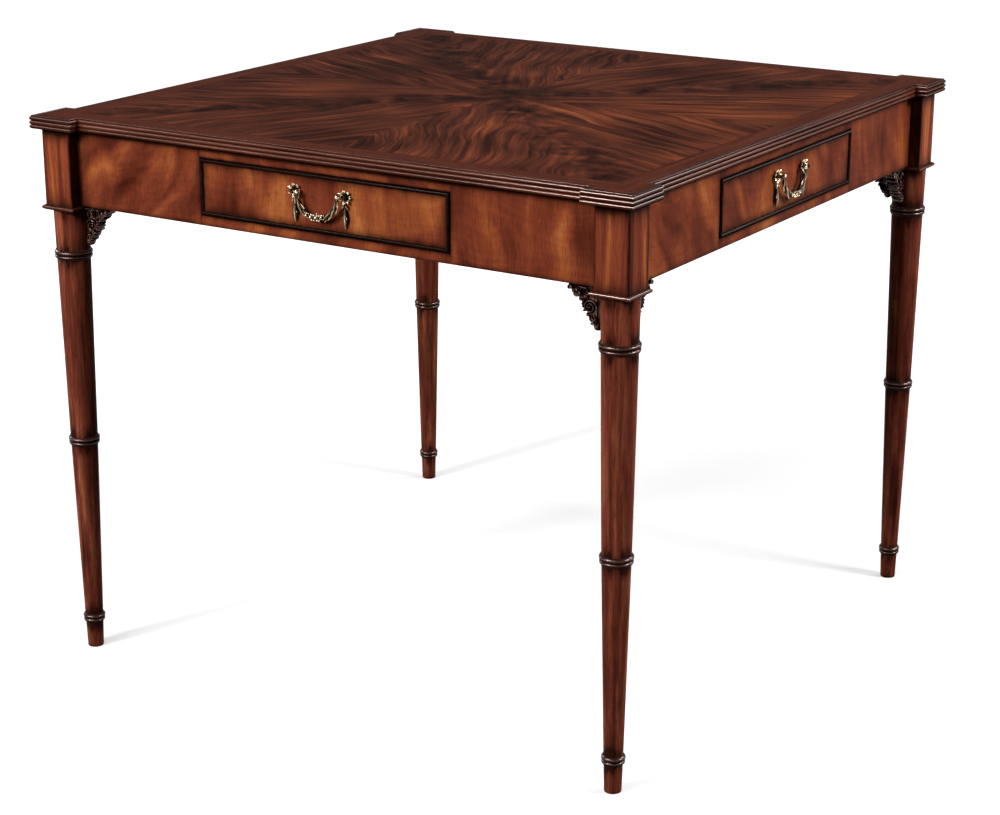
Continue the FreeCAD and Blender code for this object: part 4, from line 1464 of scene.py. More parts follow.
@dataclass
class CarvedBrackets:
    """Brackets between legs and aprons: a board with scrolls and leaves in relief on both faces.

    The carving is drawn in millimetres on a plane: out from the leg's axis, and down from the apron.
    """

    sizes: TableSizes
    thickness: float = 18.0
    board_half: float = 4.0
    crest: float = 8.7
    voxel: float = 0.62 * MM
    bar_sides: int = 10
    # The board is joined from four flat shapes. The hollows beside them are closed by thin webs.
    webs: tuple[tuple[tuple[float, float], ...], ...] = (
        ((41.5, 4.2), (52.5, 4.2), (52.5, 14.4), (41.5, 14.4)),
        ((21.5, 4.2), (31.5, 4.2), (31.5, 49.0), (21.5, 52.0)),
    )
    web_half: float = 1.2
    board: tuple[tuple[tuple[float, float], ...], ...] = (
        ((21.5, 0.2), (69.5, 0.2), (69.5, 5.2), (21.5, 5.2)),
        ((30.5, 0.2), (42.5, 0.2), (42.5, 36.0), (35.0, 45.5), (30.5, 49.0)),
        ((42.0, 13.4), (57.5, 13.4), (46.5, 27.0), (42.0, 36.5)),
        ((51.5, 0.4), (69.5, 0.4), (68.5, 5.0), (60.0, 12.5), (51.5, 14.5)),
    )
    scrolls: tuple[Scroll, ...] = (
        Scroll(38.6, 25.6, 8.8, 2.8, 200, 780, 1.5),
        Scroll(56.8, 12.0, 4.7, 1.6, 250, 740, 1.15),
        Scroll(66.4, 5.1, 3.6, 1.3, 150, 620, 1.1),
        Scroll(33.4, 43.0, 4.3, 1.5, 20, 480, 1.15),
        Scroll(47.0, 9.4, 6.2, 6.2, 0, 360, 1.1),
    )
    leaves: tuple[CarvedLeaf, ...] = (
        CarvedLeaf(40, 2.6, 0, 24, 3.2), CarvedLeaf(52, 4.4, 14, 13, 2.8), CarvedLeaf(22, 3.0, 2, 18, 3.4),
        CarvedLeaf(32, 4.5, 80, 14, 3.2), CarvedLeaf(36, 3.5, 60, 14, 3.2),
        CarvedLeaf(41, 33, 108, 15, 2.9), CarvedLeaf(38, 33.5, 114, 14, 2.8),
        CarvedLeaf(35, 33, 118, 11, 2.6), CarvedLeaf(44, 17, 22, 11, 3.0),
        CarvedLeaf(46, 20, 34, 8.5, 2.9), CarvedLeaf(47, 24, 52, 6.5, 2.8),
        CarvedLeaf(46.5, 28, 74, 6, 2.7),
    )
    # Lobes of the slanting edge from tip to foot: out, down and radius. The last one is the knob.
    lobes: tuple[tuple[float, float, float], ...] = (
        (62.6, 9.6, 3.3), (57.4, 13.2, 3.3), (52.6, 17.8, 3.2), (48.8, 23.4, 3.1), (46.2, 29.6, 3.1),
        (42.6, 35.6, 3.1), (38.4, 41.2, 2.9), (34.8, 44.2, 2.3), (30.4, 48.9, 5.5),
    )
    lobe_crest: float = 7.6

    def place(self, out: float, down: float, forward: float = 0.0) -> Vector:
        """Point of the right-hand bracket of the front side, at a distance forward of its middle plane."""
        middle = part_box("brackets_front_right")[0].y + self.thickness / 2 * MM
        across = self.sizes.leg_axis - out * MM
        return Vector((across, middle - forward * MM, self.sizes.apron_bottom - down * MM))

    def add_board(self, shell: Shell, outline: Sequence[tuple[float, float]], half: float) -> None:
        """Add a flat shape of the board, half of whose thickness is given."""
        shell.loft([[self.place(out, down, way * half) for out, down in outline] for way in (-1, 1)])

    def add_ball(self, shell: Shell, out: float, down: float, radius: float, crest: float) -> None:
        """Add a ball that is stretched through the board to a crest on both faces."""
        stretch = Vector((1, crest / radius, 1))
        shell.loft(ball_loops(self.place(out, down), radius * MM, stretch=stretch))

    def add_scroll(self, shell: Shell, scroll: Scroll) -> None:
        """Add a scroll that tapers as it winds in to its eye."""
        steps = int(abs(scroll.end - scroll.start) / 15)
        path = []
        radii = []
        for step in range(steps + 1):
            share = step / steps
            angle = math.radians(scroll.start + (scroll.end - scroll.start) * share)
            radius = scroll.outer + (scroll.inner - scroll.outer) * share ** 0.8
            out = scroll.out + radius * math.cos(angle)
            down = scroll.down + radius * math.sin(angle)
            path.append(self.place(out, down))
            radii.append(scroll.bar * (1 - 0.3 * share) * MM)
        shell.loft(bar_loops(path, radii, Vector((0, 1, 0)), self.bar_sides, self.crest * MM))
        if scroll.inner < scroll.outer:
            self.add_ball(shell, scroll.out, scroll.down, scroll.inner * 0.9, self.crest)

    def add_leaf(self, shell: Shell, leaf: CarvedLeaf) -> None:
        """Add a leaf that rises out of both faces of the board."""
        angle = math.radians(leaf.angle)
        along = Vector((-math.cos(angle), 0, -math.sin(angle)))
        through = Vector((0, 1, 0))
        turn = Matrix((along, through.cross(along), through)).transposed().to_4x4()
        blade = leaf_shell(leaf.length * MM, leaf.width * MM, self.crest * 2 * MM, curl=0.0, belly=0.8)
        shell.add(blade, Matrix.Translation(self.place(leaf.out, leaf.down)) @ turn)

    def carving(self) -> Shell:
        """All parts of the right-hand bracket of the front side, not yet joined into one skin."""
        shell = Shell()
        for outline in self.board:
            self.add_board(shell, outline, self.board_half)
        for outline in self.webs:
            self.add_board(shell, outline, self.web_half)
        for out, down, radius in self.lobes:
            self.add_ball(shell, out, down, radius, self.lobe_crest)
        for scroll in self.scrolls:
            self.add_scroll(shell, scroll)
        for leaf in self.leaves:
            self.add_leaf(shell, leaf)
        return shell

    def carved_mesh(self) -> Mesh:
        """Join the carving into one skin."""
        holder = bpy.data.objects.new("carving", self.carving().mesh("carving"))
        remesh = holder.modifiers.new("one skin", "REMESH")
        remesh.mode = "VOXEL"
        remesh.voxel_size = self.voxel
        soften = holder.modifiers.new("soften", "SMOOTH")
        soften.iterations = 1
        return evaluated_mesh(holder)

    def build(self) -> None:
        """Make one bracket and place copies of it in the corners."""
        mesh = self.carved_mesh()
        mirror = Matrix.Scale(-1, 4, Vector((1, 0, 0)))
        for corner in Corner:
            work = bmesh.new()
            for place in (corner.turn, corner.turn @ quarter_turn(1) @ mirror):
                copy = mesh.copy()
                copy.transform(place)
                if place.determinant() < 0:
                    copy.flip_normals()
                work.from_mesh(copy)
            bmesh.ops.recalc_face_normals(work, faces=work.faces)
            pair = bpy.data.meshes.new("carved_brackets")
            work.to_mesh(pair)
            work.free()
            add_piece(f"carved_brackets_{corner.label}", pair, FINISHES.carved, "table",
                      [f"brackets_{corner.label}"], crease=180)


# Boards of the aprons and drawers

@dataclass(frozen=True)
class EdgeReach:
    """How far painted shade and grime reach in from the edges of a board's face, in metres."""

    left: float = 0.0
    right: float = 0.0
    bottom: float = 0.0
    top: float = 0.0


def face_board(low: Vector, high: Vector, reach: EdgeReach, cut: float, arris: float = 0.0) -> Shell:
    """A board of the front side whose face is darkened along its edges by painted shade and grime.

    Args:
        low: Lowest corner.
        high: Highest corner.
        reach: Reach of the burnish.
        cut: Number of the cut of wood.
        arris: Rounding of the two lower edges.

    Returns:
        The board.
    """
    margins = (2.5 * MM, 6 * MM, 11 * MM, 18 * MM, 30 * MM)
    heights = margin_lines(low.z + arris, high.z, margins)
    section = [(low.y, height) for height in heights] + [(high.y, high.z), (high.y, low.z + arris)]
    if arris:
        section += arc_points((high.y - arris, low.z + arris), arris, 0, -90, 3)[1:]
        section += arc_points((low.y + arris, low.z + arris), arris, 270, 180, 3)[:-1]
    loops = []
    burnish = []
    for x in margin_lines(low.x, high.x, margins):
        ends = max(darkening(x - low.x, reach.left), darkening(high.x - x, reach.right))
        loops.append([Vector((x, y, z)) for y, z in section])
        rows = []
        for _, z in section:
            rows.append(max(ends, darkening(z - low.z, reach.bottom), darkening(high.z - z, reach.top)))
        burnish.append(rows)
    shell = Shell()
    shell.loft(loops, burnish, cut=cut)
    return shell


@dataclass
class Aprons:
    """Aprons: a rail over and under the drawer, and a panel of flame veneer at each end."""

    sizes: TableSizes
    arris: float = 0.8 * MM
    # Reach of the darkening in from the panels' edges: painted shade beside the posts and the drawer,
    # painted shadow under the top's edge, and a darker band along the bottom.
    post_reach: float = 16 * MM
    drawer_reach: float = 7 * MM
    bottom_reach: float = 8 * MM
    top_reach: float = 15 * MM
    rail_share: float = 0.6

    def panel(self, way: int) -> Shell:
        """Panel of the front side: way is 1 for its right end and -1 for its left end."""
        label = "right" if way > 0 else "left"
        low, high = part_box(f"apron_front_{label}_panel")
        left = self.post_reach if way < 0 else self.drawer_reach
        right = self.post_reach if way > 0 else self.drawer_reach
        reach = EdgeReach(left, right, self.bottom_reach, self.top_reach)
        return face_board(low, high, reach, 3.0 + way, self.arris)

    def rails(self) -> Shell:
        """Rails of the front side."""
        sizes = self.sizes
        low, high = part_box("apron_front_rails")
        drawer_low, drawer_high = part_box("drawer_front_cockbead")
        gap = sizes.opening_half - drawer_high.x
        beside = self.bottom_reach * self.rail_share
        under = Vector((high.x, high.y, drawer_low.z - gap))
        over = Vector((low.x, low.y, drawer_high.z + gap))
        rails = face_board(low, under, EdgeReach(bottom=beside, top=beside), 5.0, self.arris)
        rails.add(face_board(over, high, EdgeReach(bottom=beside, top=self.top_reach), 6.0), Matrix())
        return rails

    def build(self) -> None:
        """Make the aprons of all sides."""
        parts = {"left_panel": self.panel(-1), "right_panel": self.panel(1), "rails": self.rails()}
        for side in Side:
            for label, part in parts.items():
                mesh = part.moved(side.turn, side.value * 7.0).mesh("veneered_apron")
                add_piece(f"veneered_apron_{side.label}_{label}", mesh, FINISHES.flame, "table",
                          [f"apron_{side.label}_{label}"])


@dataclass
class Drawers:
    """Drawers: a veneered front inside a mitred cockbead, on a plain box."""

    sizes: TableSizes
    # Reach of the painted shade round the edges of the drawer front, inside the cockbead.
    front_reach: float = 13 * MM
    bead_steps: int = 10
    side_round: float = 1.6 * MM
    box_thick: float = 10 * MM
    back_rise: float = 6 * MM

    def front(self) -> Shell:
        """Front board of the front drawer."""
        low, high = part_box("drawer_front_front")
        reach = EdgeReach(self.front_reach, self.front_reach, self.front_reach, self.front_reach)
        return face_board(low, high, reach, 11.0)

    def cockbead(self) -> Shell:
        """Half-round bead round the front of the front drawer."""
        low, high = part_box("drawer_front_cockbead")
        _, board_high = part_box("drawer_front_front")
        width = high.x - board_high.x
        face = -self.sizes.apron_face
        radius = width / 2
        # Painted shade: the bead darkens from its crest to where it meets the face, and fully on its hidden
        # faces.
        profile = [(0.0, high.y, 1.0), (0.0, face, 1.0)]
        for inset, proud in arc_points((radius, 0.0), radius, 180, 0, self.bead_steps):
            profile.append((inset, face - proud, 0.35 + 0.65 * (1 - proud / radius)))
        profile.append((width, high.y, 1.0))
        loops = []
        for way_x, way_z in ((-1, -1), (1, -1), (1, 1), (-1, 1)):
            loop = []
            for inset, y, _ in profile:
                z = low.z + inset if way_z < 0 else high.z - inset
                loop.append(Vector((way_x * (high.x - inset), y, z)))
            loops.append(loop)
        shell = Shell()
        shell.loft(loops, [[burnish for _, _, burnish in profile]] * 4, closed=True)
        return shell

    def board_section(self, start: float, end: float, low: float, high: float) -> list[tuple[float, float]]:
        """Section of a board of the box, with rounded upper edges.

        Args:
            start: Place of its first face.
            end: Place of its second face.
            low: Height of its lower edge.
            high: Height of its upper edge.

        Returns:
            Place across the board and height of each point.
        """
        rounding = self.side_round
        section = [(start, low), (end, low)]
        section += arc_points((end - rounding, high - rounding), rounding, 0, 90, 3)
        section += arc_points((start + rounding, high - rounding), rounding, 90, 180, 3)
        return section

    def box(self) -> Shell:
        """Sides and back of the front drawer."""
        low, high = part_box("drawer_front_box")
        thick = self.box_thick
        depths = (low.y, high.y - thick / 2, high.y)
        shell = Shell()
        for left, right in ((low.x, low.x + thick), (high.x - thick, high.x)):
            section = self.board_section(left, right, low.z, high.z)
            shell.loft([[Vector((x, y, z)) for x, z in section] for y in depths])
        back = self.board_section(high.y - thick, high.y, low.z + self.back_rise, high.z)
        places = (low.x + thick, 0.0, high.x - thick)
        shell.loft([[Vector((x, y, z)) for y, z in back] for x in places], coats=[1] * len(places))
        return shell

    def build(self) -> None:
        """Make the drawers of all sides, without their handles."""
        front = self.front()
        bead = self.cockbead()
        box = self.box()
        for side in Side:
            body = f"drawer_{side.label}"
            along_y = side in (Side.FRONT, Side.BACK)
            inside = FINISHES.inside_y if along_y else FINISHES.inside_x
            across = FINISHES.inside_x if along_y else FINISHES.inside_y
            parts = (
                ("front", "veneered_front", front, FINISHES.flame, ()),
                ("cockbead", "mitred_bead", bead, FINISHES.bead, ()),
                ("box", "plain_box", box, inside, (across,)),
            )
            for node, label, part, finish, more in parts:
                mesh = part.moved(side.turn, side.value * 3.0).mesh(label)
                add_piece(f"{body}_{label}", mesh, finish, body, [f"{body}_{node}"], more=more)
            across.put_on(f"{body}_bottom")


# The brass handles

class GrownShape:
    """A geometry node tree with named inputs, run once to give a plain mesh."""

    def __init__(self, name: str, inputs: dict[str, str]) -> None:
        """Start a tree.

        Args:
            name: Name of the tree.
            inputs: Name of each input and the kind of its socket.
        """
        self.tree = bpy.data.node_groups.new(name, "GeometryNodeTree")
        self.tree.interface.new_socket(name="Base", in_out="INPUT", socket_type="NodeSocketGeometry")
        for label, kind in inputs.items():
            self.tree.interface.new_socket(name=label, in_out="INPUT", socket_type=f"NodeSocket{kind}")
        self.tree.interface.new_socket(name="Shape", in_out="OUTPUT", socket_type="NodeSocketGeometry")
        self.start = add_node(self.tree, "NodeGroupInput")

    def end(self, geometry: Node) -> None:
        """Close the tree: real meshes, smooth, in one finish.

        Args:
            geometry: Node that gives the shape.
        """
        real = add_node(self.tree, "GeometryNodeRealizeInstances", {"Geometry": geometry})
        smooth = add_node(self.tree, "GeometryNodeSetShadeSmooth", {"Geometry": real})
        dressed = add_node(self.tree, "GeometryNodeSetMaterial", {
            "Geometry": smooth, "Material": self.start.outputs["Finish"],
        })
        add_node(self.tree, "NodeGroupOutput", {"Shape": dressed})

    def run(self, base: Mesh, sizes: dict[str, object]) -> Mesh:
        """Run the tree on a base mesh.

        Args:
            base: Mesh that the tree starts from.
            sizes: Value of each named input.

        Returns:
            The shape as a plain mesh.
        """
        holder = bpy.data.objects.new("grown_shape", base)
        modifier = holder.modifiers.new("shape", "NODES")
        modifier.node_group = self.tree
        for socket in self.tree.interface.items_tree:
            if socket.in_out == "INPUT" and socket.name in sizes:
                modifier[socket.identifier] = sizes[socket.name]
        return evaluated_mesh(holder)


def leaf_shell(length: float, width: float, thickness: float, curl: float, belly: float,
               rows: int = 7, sides: int = 8, stain: tuple[float, float] = (0.0, 0.0),
               point: float = 1.0, rub: float = 0.0) -> Shell:
    """A solid leaf or petal along +X with a ridge on its upper side.

    Args:
        length: Length from stalk to tip.
        width: Greatest width.
        thickness: Greatest thickness.
        curl: Rise of the tip along Z.
        belly: Power that moves the widest part: under 1 towards the stalk, over 1 towards the tip.
        rows: Number of loops.
        sides: Points in each loop.
        stain: Darkening at the stalk and at the tip. The ridge has less: wear on the high part, and a
            painted highlight.
        point: Power that makes the ends more pointed.
        rub: Stain that rubbing has taken off the whole leaf.

    Returns:
        The leaf.
    """
    loops = []
    burnish = []
    top = sides // 4
    # The stain is thin on the ridge and full two points away from it: wear on the high part, and a painted
    # highlight.
    stained = [min(1.0, 0.1 + 0.6 * abs(side - top)) for side in range(sides)]
    for row in range(rows):
        depth = stain[0] + (stain[1] - stain[0]) * row / (rows - 1)
        burnish.append([depth * part - rub for part in stained])
        share = 0.03 + 0.94 * row / (rows - 1)
        swell = math.sin(math.pi * share ** belly) ** point
        half_width = max(0.12, swell) * width / 2
        half_thick = max(0.2, swell ** 0.7) * thickness / 2
        middle = Vector((length * share, 0, curl * share ** 2))
        loop = []
        for side in range(sides):
            angle = 2 * math.pi * side / sides
            ridge = 1.35 if side == top else 1.0
            rise = half_thick * ridge * math.sin(angle)
            loop.append(middle + Vector((0, half_width * math.cos(angle), rise)))
        loops.append(loop)
    shell = Shell()
    shell.loft(loops, burnish)
    return shell


@dataclass
class DrawerHandles:
    """Cast brass handles: two posts with leafy rosettes and hanging husks, and a bail with a garland."""

    sizes: TableSizes
    post_spacing: float = 77 * MM
    petals: int = 7
    petal_length: float = 7.8 * MM
    petal_width: float = 5.2 * MM
    petal_ring: float = 2.6 * MM
    petal_rub: float = 0.5
    petal_thickness: float = 2.8 * MM
    petal_curl: float = 2.6 * MM
    petal_tilt: float = -8.0
    rosette_proud: float = 1.6 * MM
    # Distance out from the drawer front and radius of each point of a boss, in mm.
    boss_section: tuple[tuple[float, float], ...] = (
        (0.2, 5.2), (1.4, 5.0), (2.0, 3.0), (5.0, 2.5), (7.0, 2.7), (9.0, 2.9), (11.2, 2.7),
        (12.8, 2.0), (13.6, 1.0),
    )
    boss_sides: int = 20
    stud_radius: float = 2.0 * MM
    # Depth behind the drawer front and radius of each point of a nut, in mm.
    nut_section: tuple[tuple[float, float], ...] = ((0.0, 3.6), (0.4, 4.0), (2.8, 4.0), (3.2, 3.6))
    husk_tip: float = 665 * MM
    # Drop of the husk below the post, and how far the husk and its side leaves stand out, in mm.
    husk_drop: float = 5.0
    husk_proud: float = 2.4
    sprig_proud: float = 0.6
    husk_width: float = 8.8 * MM
    husk_stain: tuple[float, float] = (1.2, 0.9)
    # Drop below the top of the husk, lean in degrees, length and width of each pair of side leaves, in mm.
    husk_sprigs: tuple[tuple[float, float, float, float], ...] = ((3.5, 34, 8.0, 3.4), (15.0, 22, 9.0, 3.0))
    leaf_stain: tuple[float, float] = (1.0, 0.1)
    bail_half: float = 30.9 * MM
    bail_radius: float = 2.0 * MM
    bail_swell: float = 0.3
    bail_straight: float = 3 * MM
    bail_sides: int = 14
    knuckle_radius: float = 3 * MM
    pin_length: float = 4.6 * MM
    pin_radius: float = 1.4 * MM
    shoulder_radius: float = 16 * MM
    low_radius: float = 32.1 * MM
    low_rise: float = 3.1 * MM
    garland_leaves: int = 13
    garland_leaf: float = 13.0 * MM
    garland_points: int = 16
    garland_twist: float = 137.5
    garland_lean: float = -88.0
    garland_sink: float = 0.3 * MM
    # Angle round the low arc in degrees and length of the petals in mm, for each blossom.
    blossoms: tuple[tuple[float, float], ...] = ((-21, 3.0), (-7.5, 4.2), (7.5, 4.2), (21, 3.0))
    blossom_petals: int = 6
    blossom_ring: float = 0.9 * MM
    blossom_tilt: float = -12.0
    blossom_proud: float = 3.2 * MM
    boss_patina: float = 0.5
    bar_patina: float = 0.7

    @property
    def pivot(self) -> Vector:
        """Middle of the front bail's hinge."""
        low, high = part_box("drawer_front_bail")
        return Vector((0, low.y + (high.y - low.y) / 2, high.z - self.knuckle_radius))

    def turned(self, centre: Vector, section: Sequence[tuple[float, float]], sides: int) -> list[Loop]:
        """Loops of a shape that is turned about an axis from front to back.

        Args:
            centre: Point of the axis that places along it start from.
            section: Place along the axis and radius of each loop.
            sides: Points in each loop.

        Returns:
            One loop for each point of the section.
        """
        angles = [2 * math.pi * side / sides for side in range(sides)]
        loops = []
        for along, radius in section:
            ring = [(radius * math.cos(a), radius * math.sin(a)) for a in angles]
            loops.append([centre + Vector((across, along, up)) for across, up in ring])
        return loops

    def petal_ring_shape(self) -> GrownShape:
        """Tree that sets petals in a ring, each pointing outwards and tilted up."""
        shape = GrownShape("petal_ring", {
            "Petal": "Object", "Petals": "Int", "Ring Radius": "Float", "Tilt": "Rotation",
            "Finish": "Material",
        })
        tree = shape.tree
        start = shape.start.outputs
        ring = add_node(tree, "GeometryNodeMeshCircle", {
            "Vertices": start["Petals"], "Radius": start["Ring Radius"],
        })
        petal = add_node(tree, "GeometryNodeObjectInfo", {"Object": start["Petal"]})
        outwards = add_node(tree, "FunctionNodeAlignRotationToVector", {
            "Vector": add_node(tree, "GeometryNodeInputPosition"),
        }, axis="X", pivot_axis="Z")
        tilted = add_node(tree, "FunctionNodeRotateRotation", {
            "Rotation": outwards, "Rotate By": start["Tilt"],
        }, rotation_space="LOCAL")
        petals = add_node(tree, "GeometryNodeInstanceOnPoints", {
            "Points": ring, "Instance": petal.outputs["Geometry"], "Rotation": tilted,
        })
        shape.end(petals)
        return shape

    def garland_shape(self) -> GrownShape:
        """Tree that lays leaves along a path, each turned on from the one before it and a little larger."""
        shape = GrownShape("bail_garland", {
            "Leaf": "Object", "Leaves": "Int", "Twist": "Float", "Swell": "Float", "Finish": "Material",
        })
        tree = shape.tree
        start = shape.start.outputs
        path = add_node(tree, "GeometryNodeMeshToCurve", {"Mesh": start["Base"]})
        share = add_node(tree, "GeometryNodeSplineParameter").outputs["Factor"]
        swell = add_node(tree, "ShaderNodeMath", {
            0: share, 1: start["Swell"], 2: 1.0,
        }, operation="MULTIPLY_ADD")
        sized = add_node(tree, "GeometryNodeSetCurveRadius", {"Curve": path, "Radius": swell})
        places = add_node(tree, "GeometryNodeCurveToPoints", {"Curve": sized, "Count": start["Leaves"]})
        turn = add_node(tree, "ShaderNodeMath", {
            0: add_node(tree, "GeometryNodeInputIndex"), 1: start["Twist"],
        }, operation="MULTIPLY")
        spin = add_node(tree, "FunctionNodeAxisAngleToRotation", {"Axis": (0, 0, 1), "Angle": turn})
        round_bar = add_node(tree, "FunctionNodeRotateRotation", {
            "Rotation": places.outputs["Rotation"], "Rotate By": spin,
        }, rotation_space="LOCAL")
        leaf = add_node(tree, "GeometryNodeObjectInfo", {"Object": start["Leaf"]})
        leaves = add_node(tree, "GeometryNodeInstanceOnPoints", {
            "Points": places.outputs["Points"], "Instance": leaf.outputs["Geometry"], "Rotation": round_bar,
            "Scale": add_node(tree, "GeometryNodeInputRadius"),
        })
        shape.end(leaves)
        return shape

    def pattern(self, name: str, shell: Shell) -> bpy.types.Object:
        """Object that a tree copies. It isn't shown, so it is never linked to the scene."""
        return bpy.data.objects.new(name, shell.mesh(name))

    def petals_round(self, ring_shape: GrownShape, blade: Shell, ring: tuple[int, float, float],
                     place: Vector) -> Mesh:
        """Ring of petals that faces the front.

        Args:
            ring_shape: Tree that sets the petals.
            blade: One petal.
            ring: Number of petals, radius of their ring, and their tilt in degrees.
            place: Middle of the ring.

        Returns:
            The petals.
        """
        count, radius, tilt = ring
        petal = self.pattern("petal", blade)
        mesh = ring_shape.run(bpy.data.meshes.new("petals"), {
            "Petal": petal, "Petals": count, "Ring Radius": radius,
            "Tilt": Euler((0, math.radians(tilt), 0)), "Finish": FINISHES.brass.material(),
        })
        bpy.data.objects.remove(petal)
        mesh.transform(Matrix.Translation(place) @ quarter_turn(1, "X"))
        return mesh

    def rosette(self, ring_shape: GrownShape, place: Vector) -> Mesh:
        """Ring of petals flat on the drawer front round one post."""
        blade = leaf_shell(self.petal_length, self.petal_width, self.petal_thickness, self.petal_curl,
                           belly=1.2, stain=(0.5, 0.0), rub=self.petal_rub)
        ring = (self.petals, self.petal_ring, self.petal_tilt)
        return self.petals_round(ring_shape, blade, ring, place)

    def husk(self, x: float) -> Shell:
        """Post, boss and hanging husk at one end of the handle."""
        pivot = self.pivot
        shell = Shell()
        middle = Vector((x, -self.sizes.apron_face, pivot.z))
        section = [(-out * MM, radius * MM) for out, radius in self.boss_section]
        loops = self.turned(middle, section, self.boss_sides)
        shell.loft(loops, [[self.boss_patina] * self.boss_sides] * len(loops))
        knot = middle + Vector((0, -self.husk_proud, -self.husk_drop)) * MM
        length = knot.z - self.husk_tip
        hanging = quarter_turn(1, "Y") @ quarter_turn(1, "X")
        blade = leaf_shell(length, self.husk_width, thickness=4.6 * MM, curl=0.0, belly=1.35,
                           rows=14, sides=12, stain=self.husk_stain, point=1.35)
        shell.add(blade, Matrix.Translation(knot) @ hanging)
        for drop, lean, reach, width in self.husk_sprigs:
            sprig = leaf_shell(reach * MM, width * MM, thickness=2.6 * MM, curl=0.8 * MM, belly=1.2,
                               rows=6, stain=self.leaf_stain)
            start = knot + Vector((0, -self.sprig_proud, -drop)) * MM
            for way in (-1, 1):
                turn = Matrix.Rotation(math.radians(way * lean), 4, "Y")
                shell.add(sprig, Matrix.Translation(start) @ turn @ hanging)
        return shell

    def stud(self, x: float) -> Shell:
        """Threaded stud and hexagon nut inside the drawer."""
        _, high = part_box("drawer_front_handle_posts")
        board_low, board_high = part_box("drawer_front_front")
        radius = self.stud_radius
        stud = [(board_low.y + 1 * MM, radius), (high.y - 0.6 * MM, radius), (high.y, radius * 0.7)]
        nut = [(board_high.y + depth * MM, reach * MM) for depth, reach in self.nut_section]
        centre = Vector((x, 0, self.pivot.z))
        shell = Shell()
        shell.loft(self.turned(centre, stud, 16))
        shell.loft(self.turned(centre, nut, 6))
        return shell

    def bail_path(self) -> list[Vector]:
        """Points along the front bail, from its left end to its right end."""
        pivot = self.pivot
        inset = self.bail_half - self.shoulder_radius
        shoulder = pivot.z - self.bail_straight
        low_centre = pivot.z + self.low_rise
        lean = math.degrees(math.atan2(low_centre - shoulder, inset))
        left = [(-self.bail_half, pivot.z), (-self.bail_half, pivot.z - self.bail_straight / 2)]
        left += arc_points((-inset, shoulder), self.shoulder_radius, 180, 180 + lean, 5)
        bottom = arc_points((0.0, low_centre), self.low_radius, 180 + lean, 360 - lean, 40)[1:-1]
        right = [(-x, z) for x, z in reversed(left)]
        return [Vector((x, pivot.y, z)) for x, z in (*left, *bottom, *right)]

    def bail_bar(self, path: Sequence[Vector]) -> Shell:
        """Bar of the front bail, thicker towards its middle, with its knuckles and pins."""
        last = len(path) - 1
        swells = [1 + self.bail_swell * math.sin(math.pi * at / last) for at in range(last + 1)]
        radii = [self.bail_radius * swell for swell in swells]
        through = Vector((0, 1, 0))
        sides = self.bail_sides
        shell = Shell()
        shell.loft(bar_loops(path, radii, through, sides), [[self.bar_patina] * sides] * len(path))
        for end, way in ((path[0], -1), (path[-1], 1)):
            shell.loft(ball_loops(end, self.knuckle_radius, sides, 9))
            pin = [end, end + Vector((way * self.pin_length, 0, 0))]
            shell.loft(bar_loops(pin, [self.pin_radius] * 2, through, 12))
        return shell

    def garland(self, shape: GrownShape, path: Sequence[Vector]) -> Mesh:
        """Leaves that lie along one half of the bail and point to its middle.

        Args:
            shape: Tree that lays the leaves.
            path: Points along the bar that the leaves start from.

        Returns:
            The leaves.
        """
        line = bpy.data.meshes.new("garland_line")
        links = [(at, at + 1) for at in range(len(path) - 1)]
        line.from_pydata([tuple(point) for point in path], links, [])
        blade = leaf_shell(self.garland_leaf, width=2.3 * MM, thickness=1.7 * MM, curl=0.0, belly=1.0,
                           rows=8, stain=self.leaf_stain)
        along = Matrix.Rotation(math.radians(self.garland_lean), 4, "Y") @ quarter_turn(2, "X")
        laid = blade.moved(Matrix.Translation((self.bail_radius - self.garland_sink, 0, 0)) @ along)
        leaf = self.pattern("garland_leaf", laid)
        mesh = shape.run(line, {
            "Leaf": leaf, "Leaves": self.garland_leaves, "Twist": math.radians(self.garland_twist),
            "Swell": self.bail_swell, "Finish": FINISHES.brass.material(),
        })
        bpy.data.objects.remove(leaf)
        return mesh

    def blossom(self, ring_shape: GrownShape, length: float, place: Vector) -> Mesh:
        """Small blossom on the front of the bail, with petals of a length."""
        blade = leaf_shell(length, width=length * 0.85, thickness=2.0 * MM, curl=0.7 * MM, belly=1.4,
                           rows=5, sides=6, stain=(0.7, -0.4))
        ring = (self.blossom_petals, self.blossom_ring, self.blossom_tilt)
        return self.petals_round(ring_shape, blade, ring, place)

    def bail(self, garland: GrownShape, ring_shape: GrownShape) -> Mesh:
        """Front bail with its garland and blossoms."""
        path = self.bail_path()
        leaves = self.garland(garland, path[:self.garland_points])
        mirrored = leaves.copy()
        mirrored.transform(Matrix.Scale(-1, 4, Vector((1, 0, 0))))
        mirrored.flip_normals()
        meshes = [self.bail_bar(path).mesh("bail_bar"), leaves, mirrored]
        low_centre = Vector((0, self.pivot.y - self.blossom_proud, self.pivot.z + self.low_rise))
        for lean, length in self.blossoms:
            out = Matrix.Rotation(math.radians(lean), 4, "Y") @ Vector((0, 0, -self.low_radius))
            meshes.append(self.blossom(ring_shape, length * MM, low_centre + out))
        return joined("bail", meshes)

    def castings(self, ring_shape: GrownShape) -> Mesh:
        """Both posts of the front handle with their rosettes, husks, studs and nuts."""
        front = -self.sizes.apron_face - self.rosette_proud
        meshes = []
        for way in (-1, 1):
            x = way * self.post_spacing / 2
            meshes.append(self.husk(x).mesh("husk"))
            meshes.append(self.stud(x).mesh("stud"))
            meshes.append(self.rosette(ring_shape, Vector((x, front, self.pivot.z))))
        return joined("handle_posts", meshes)

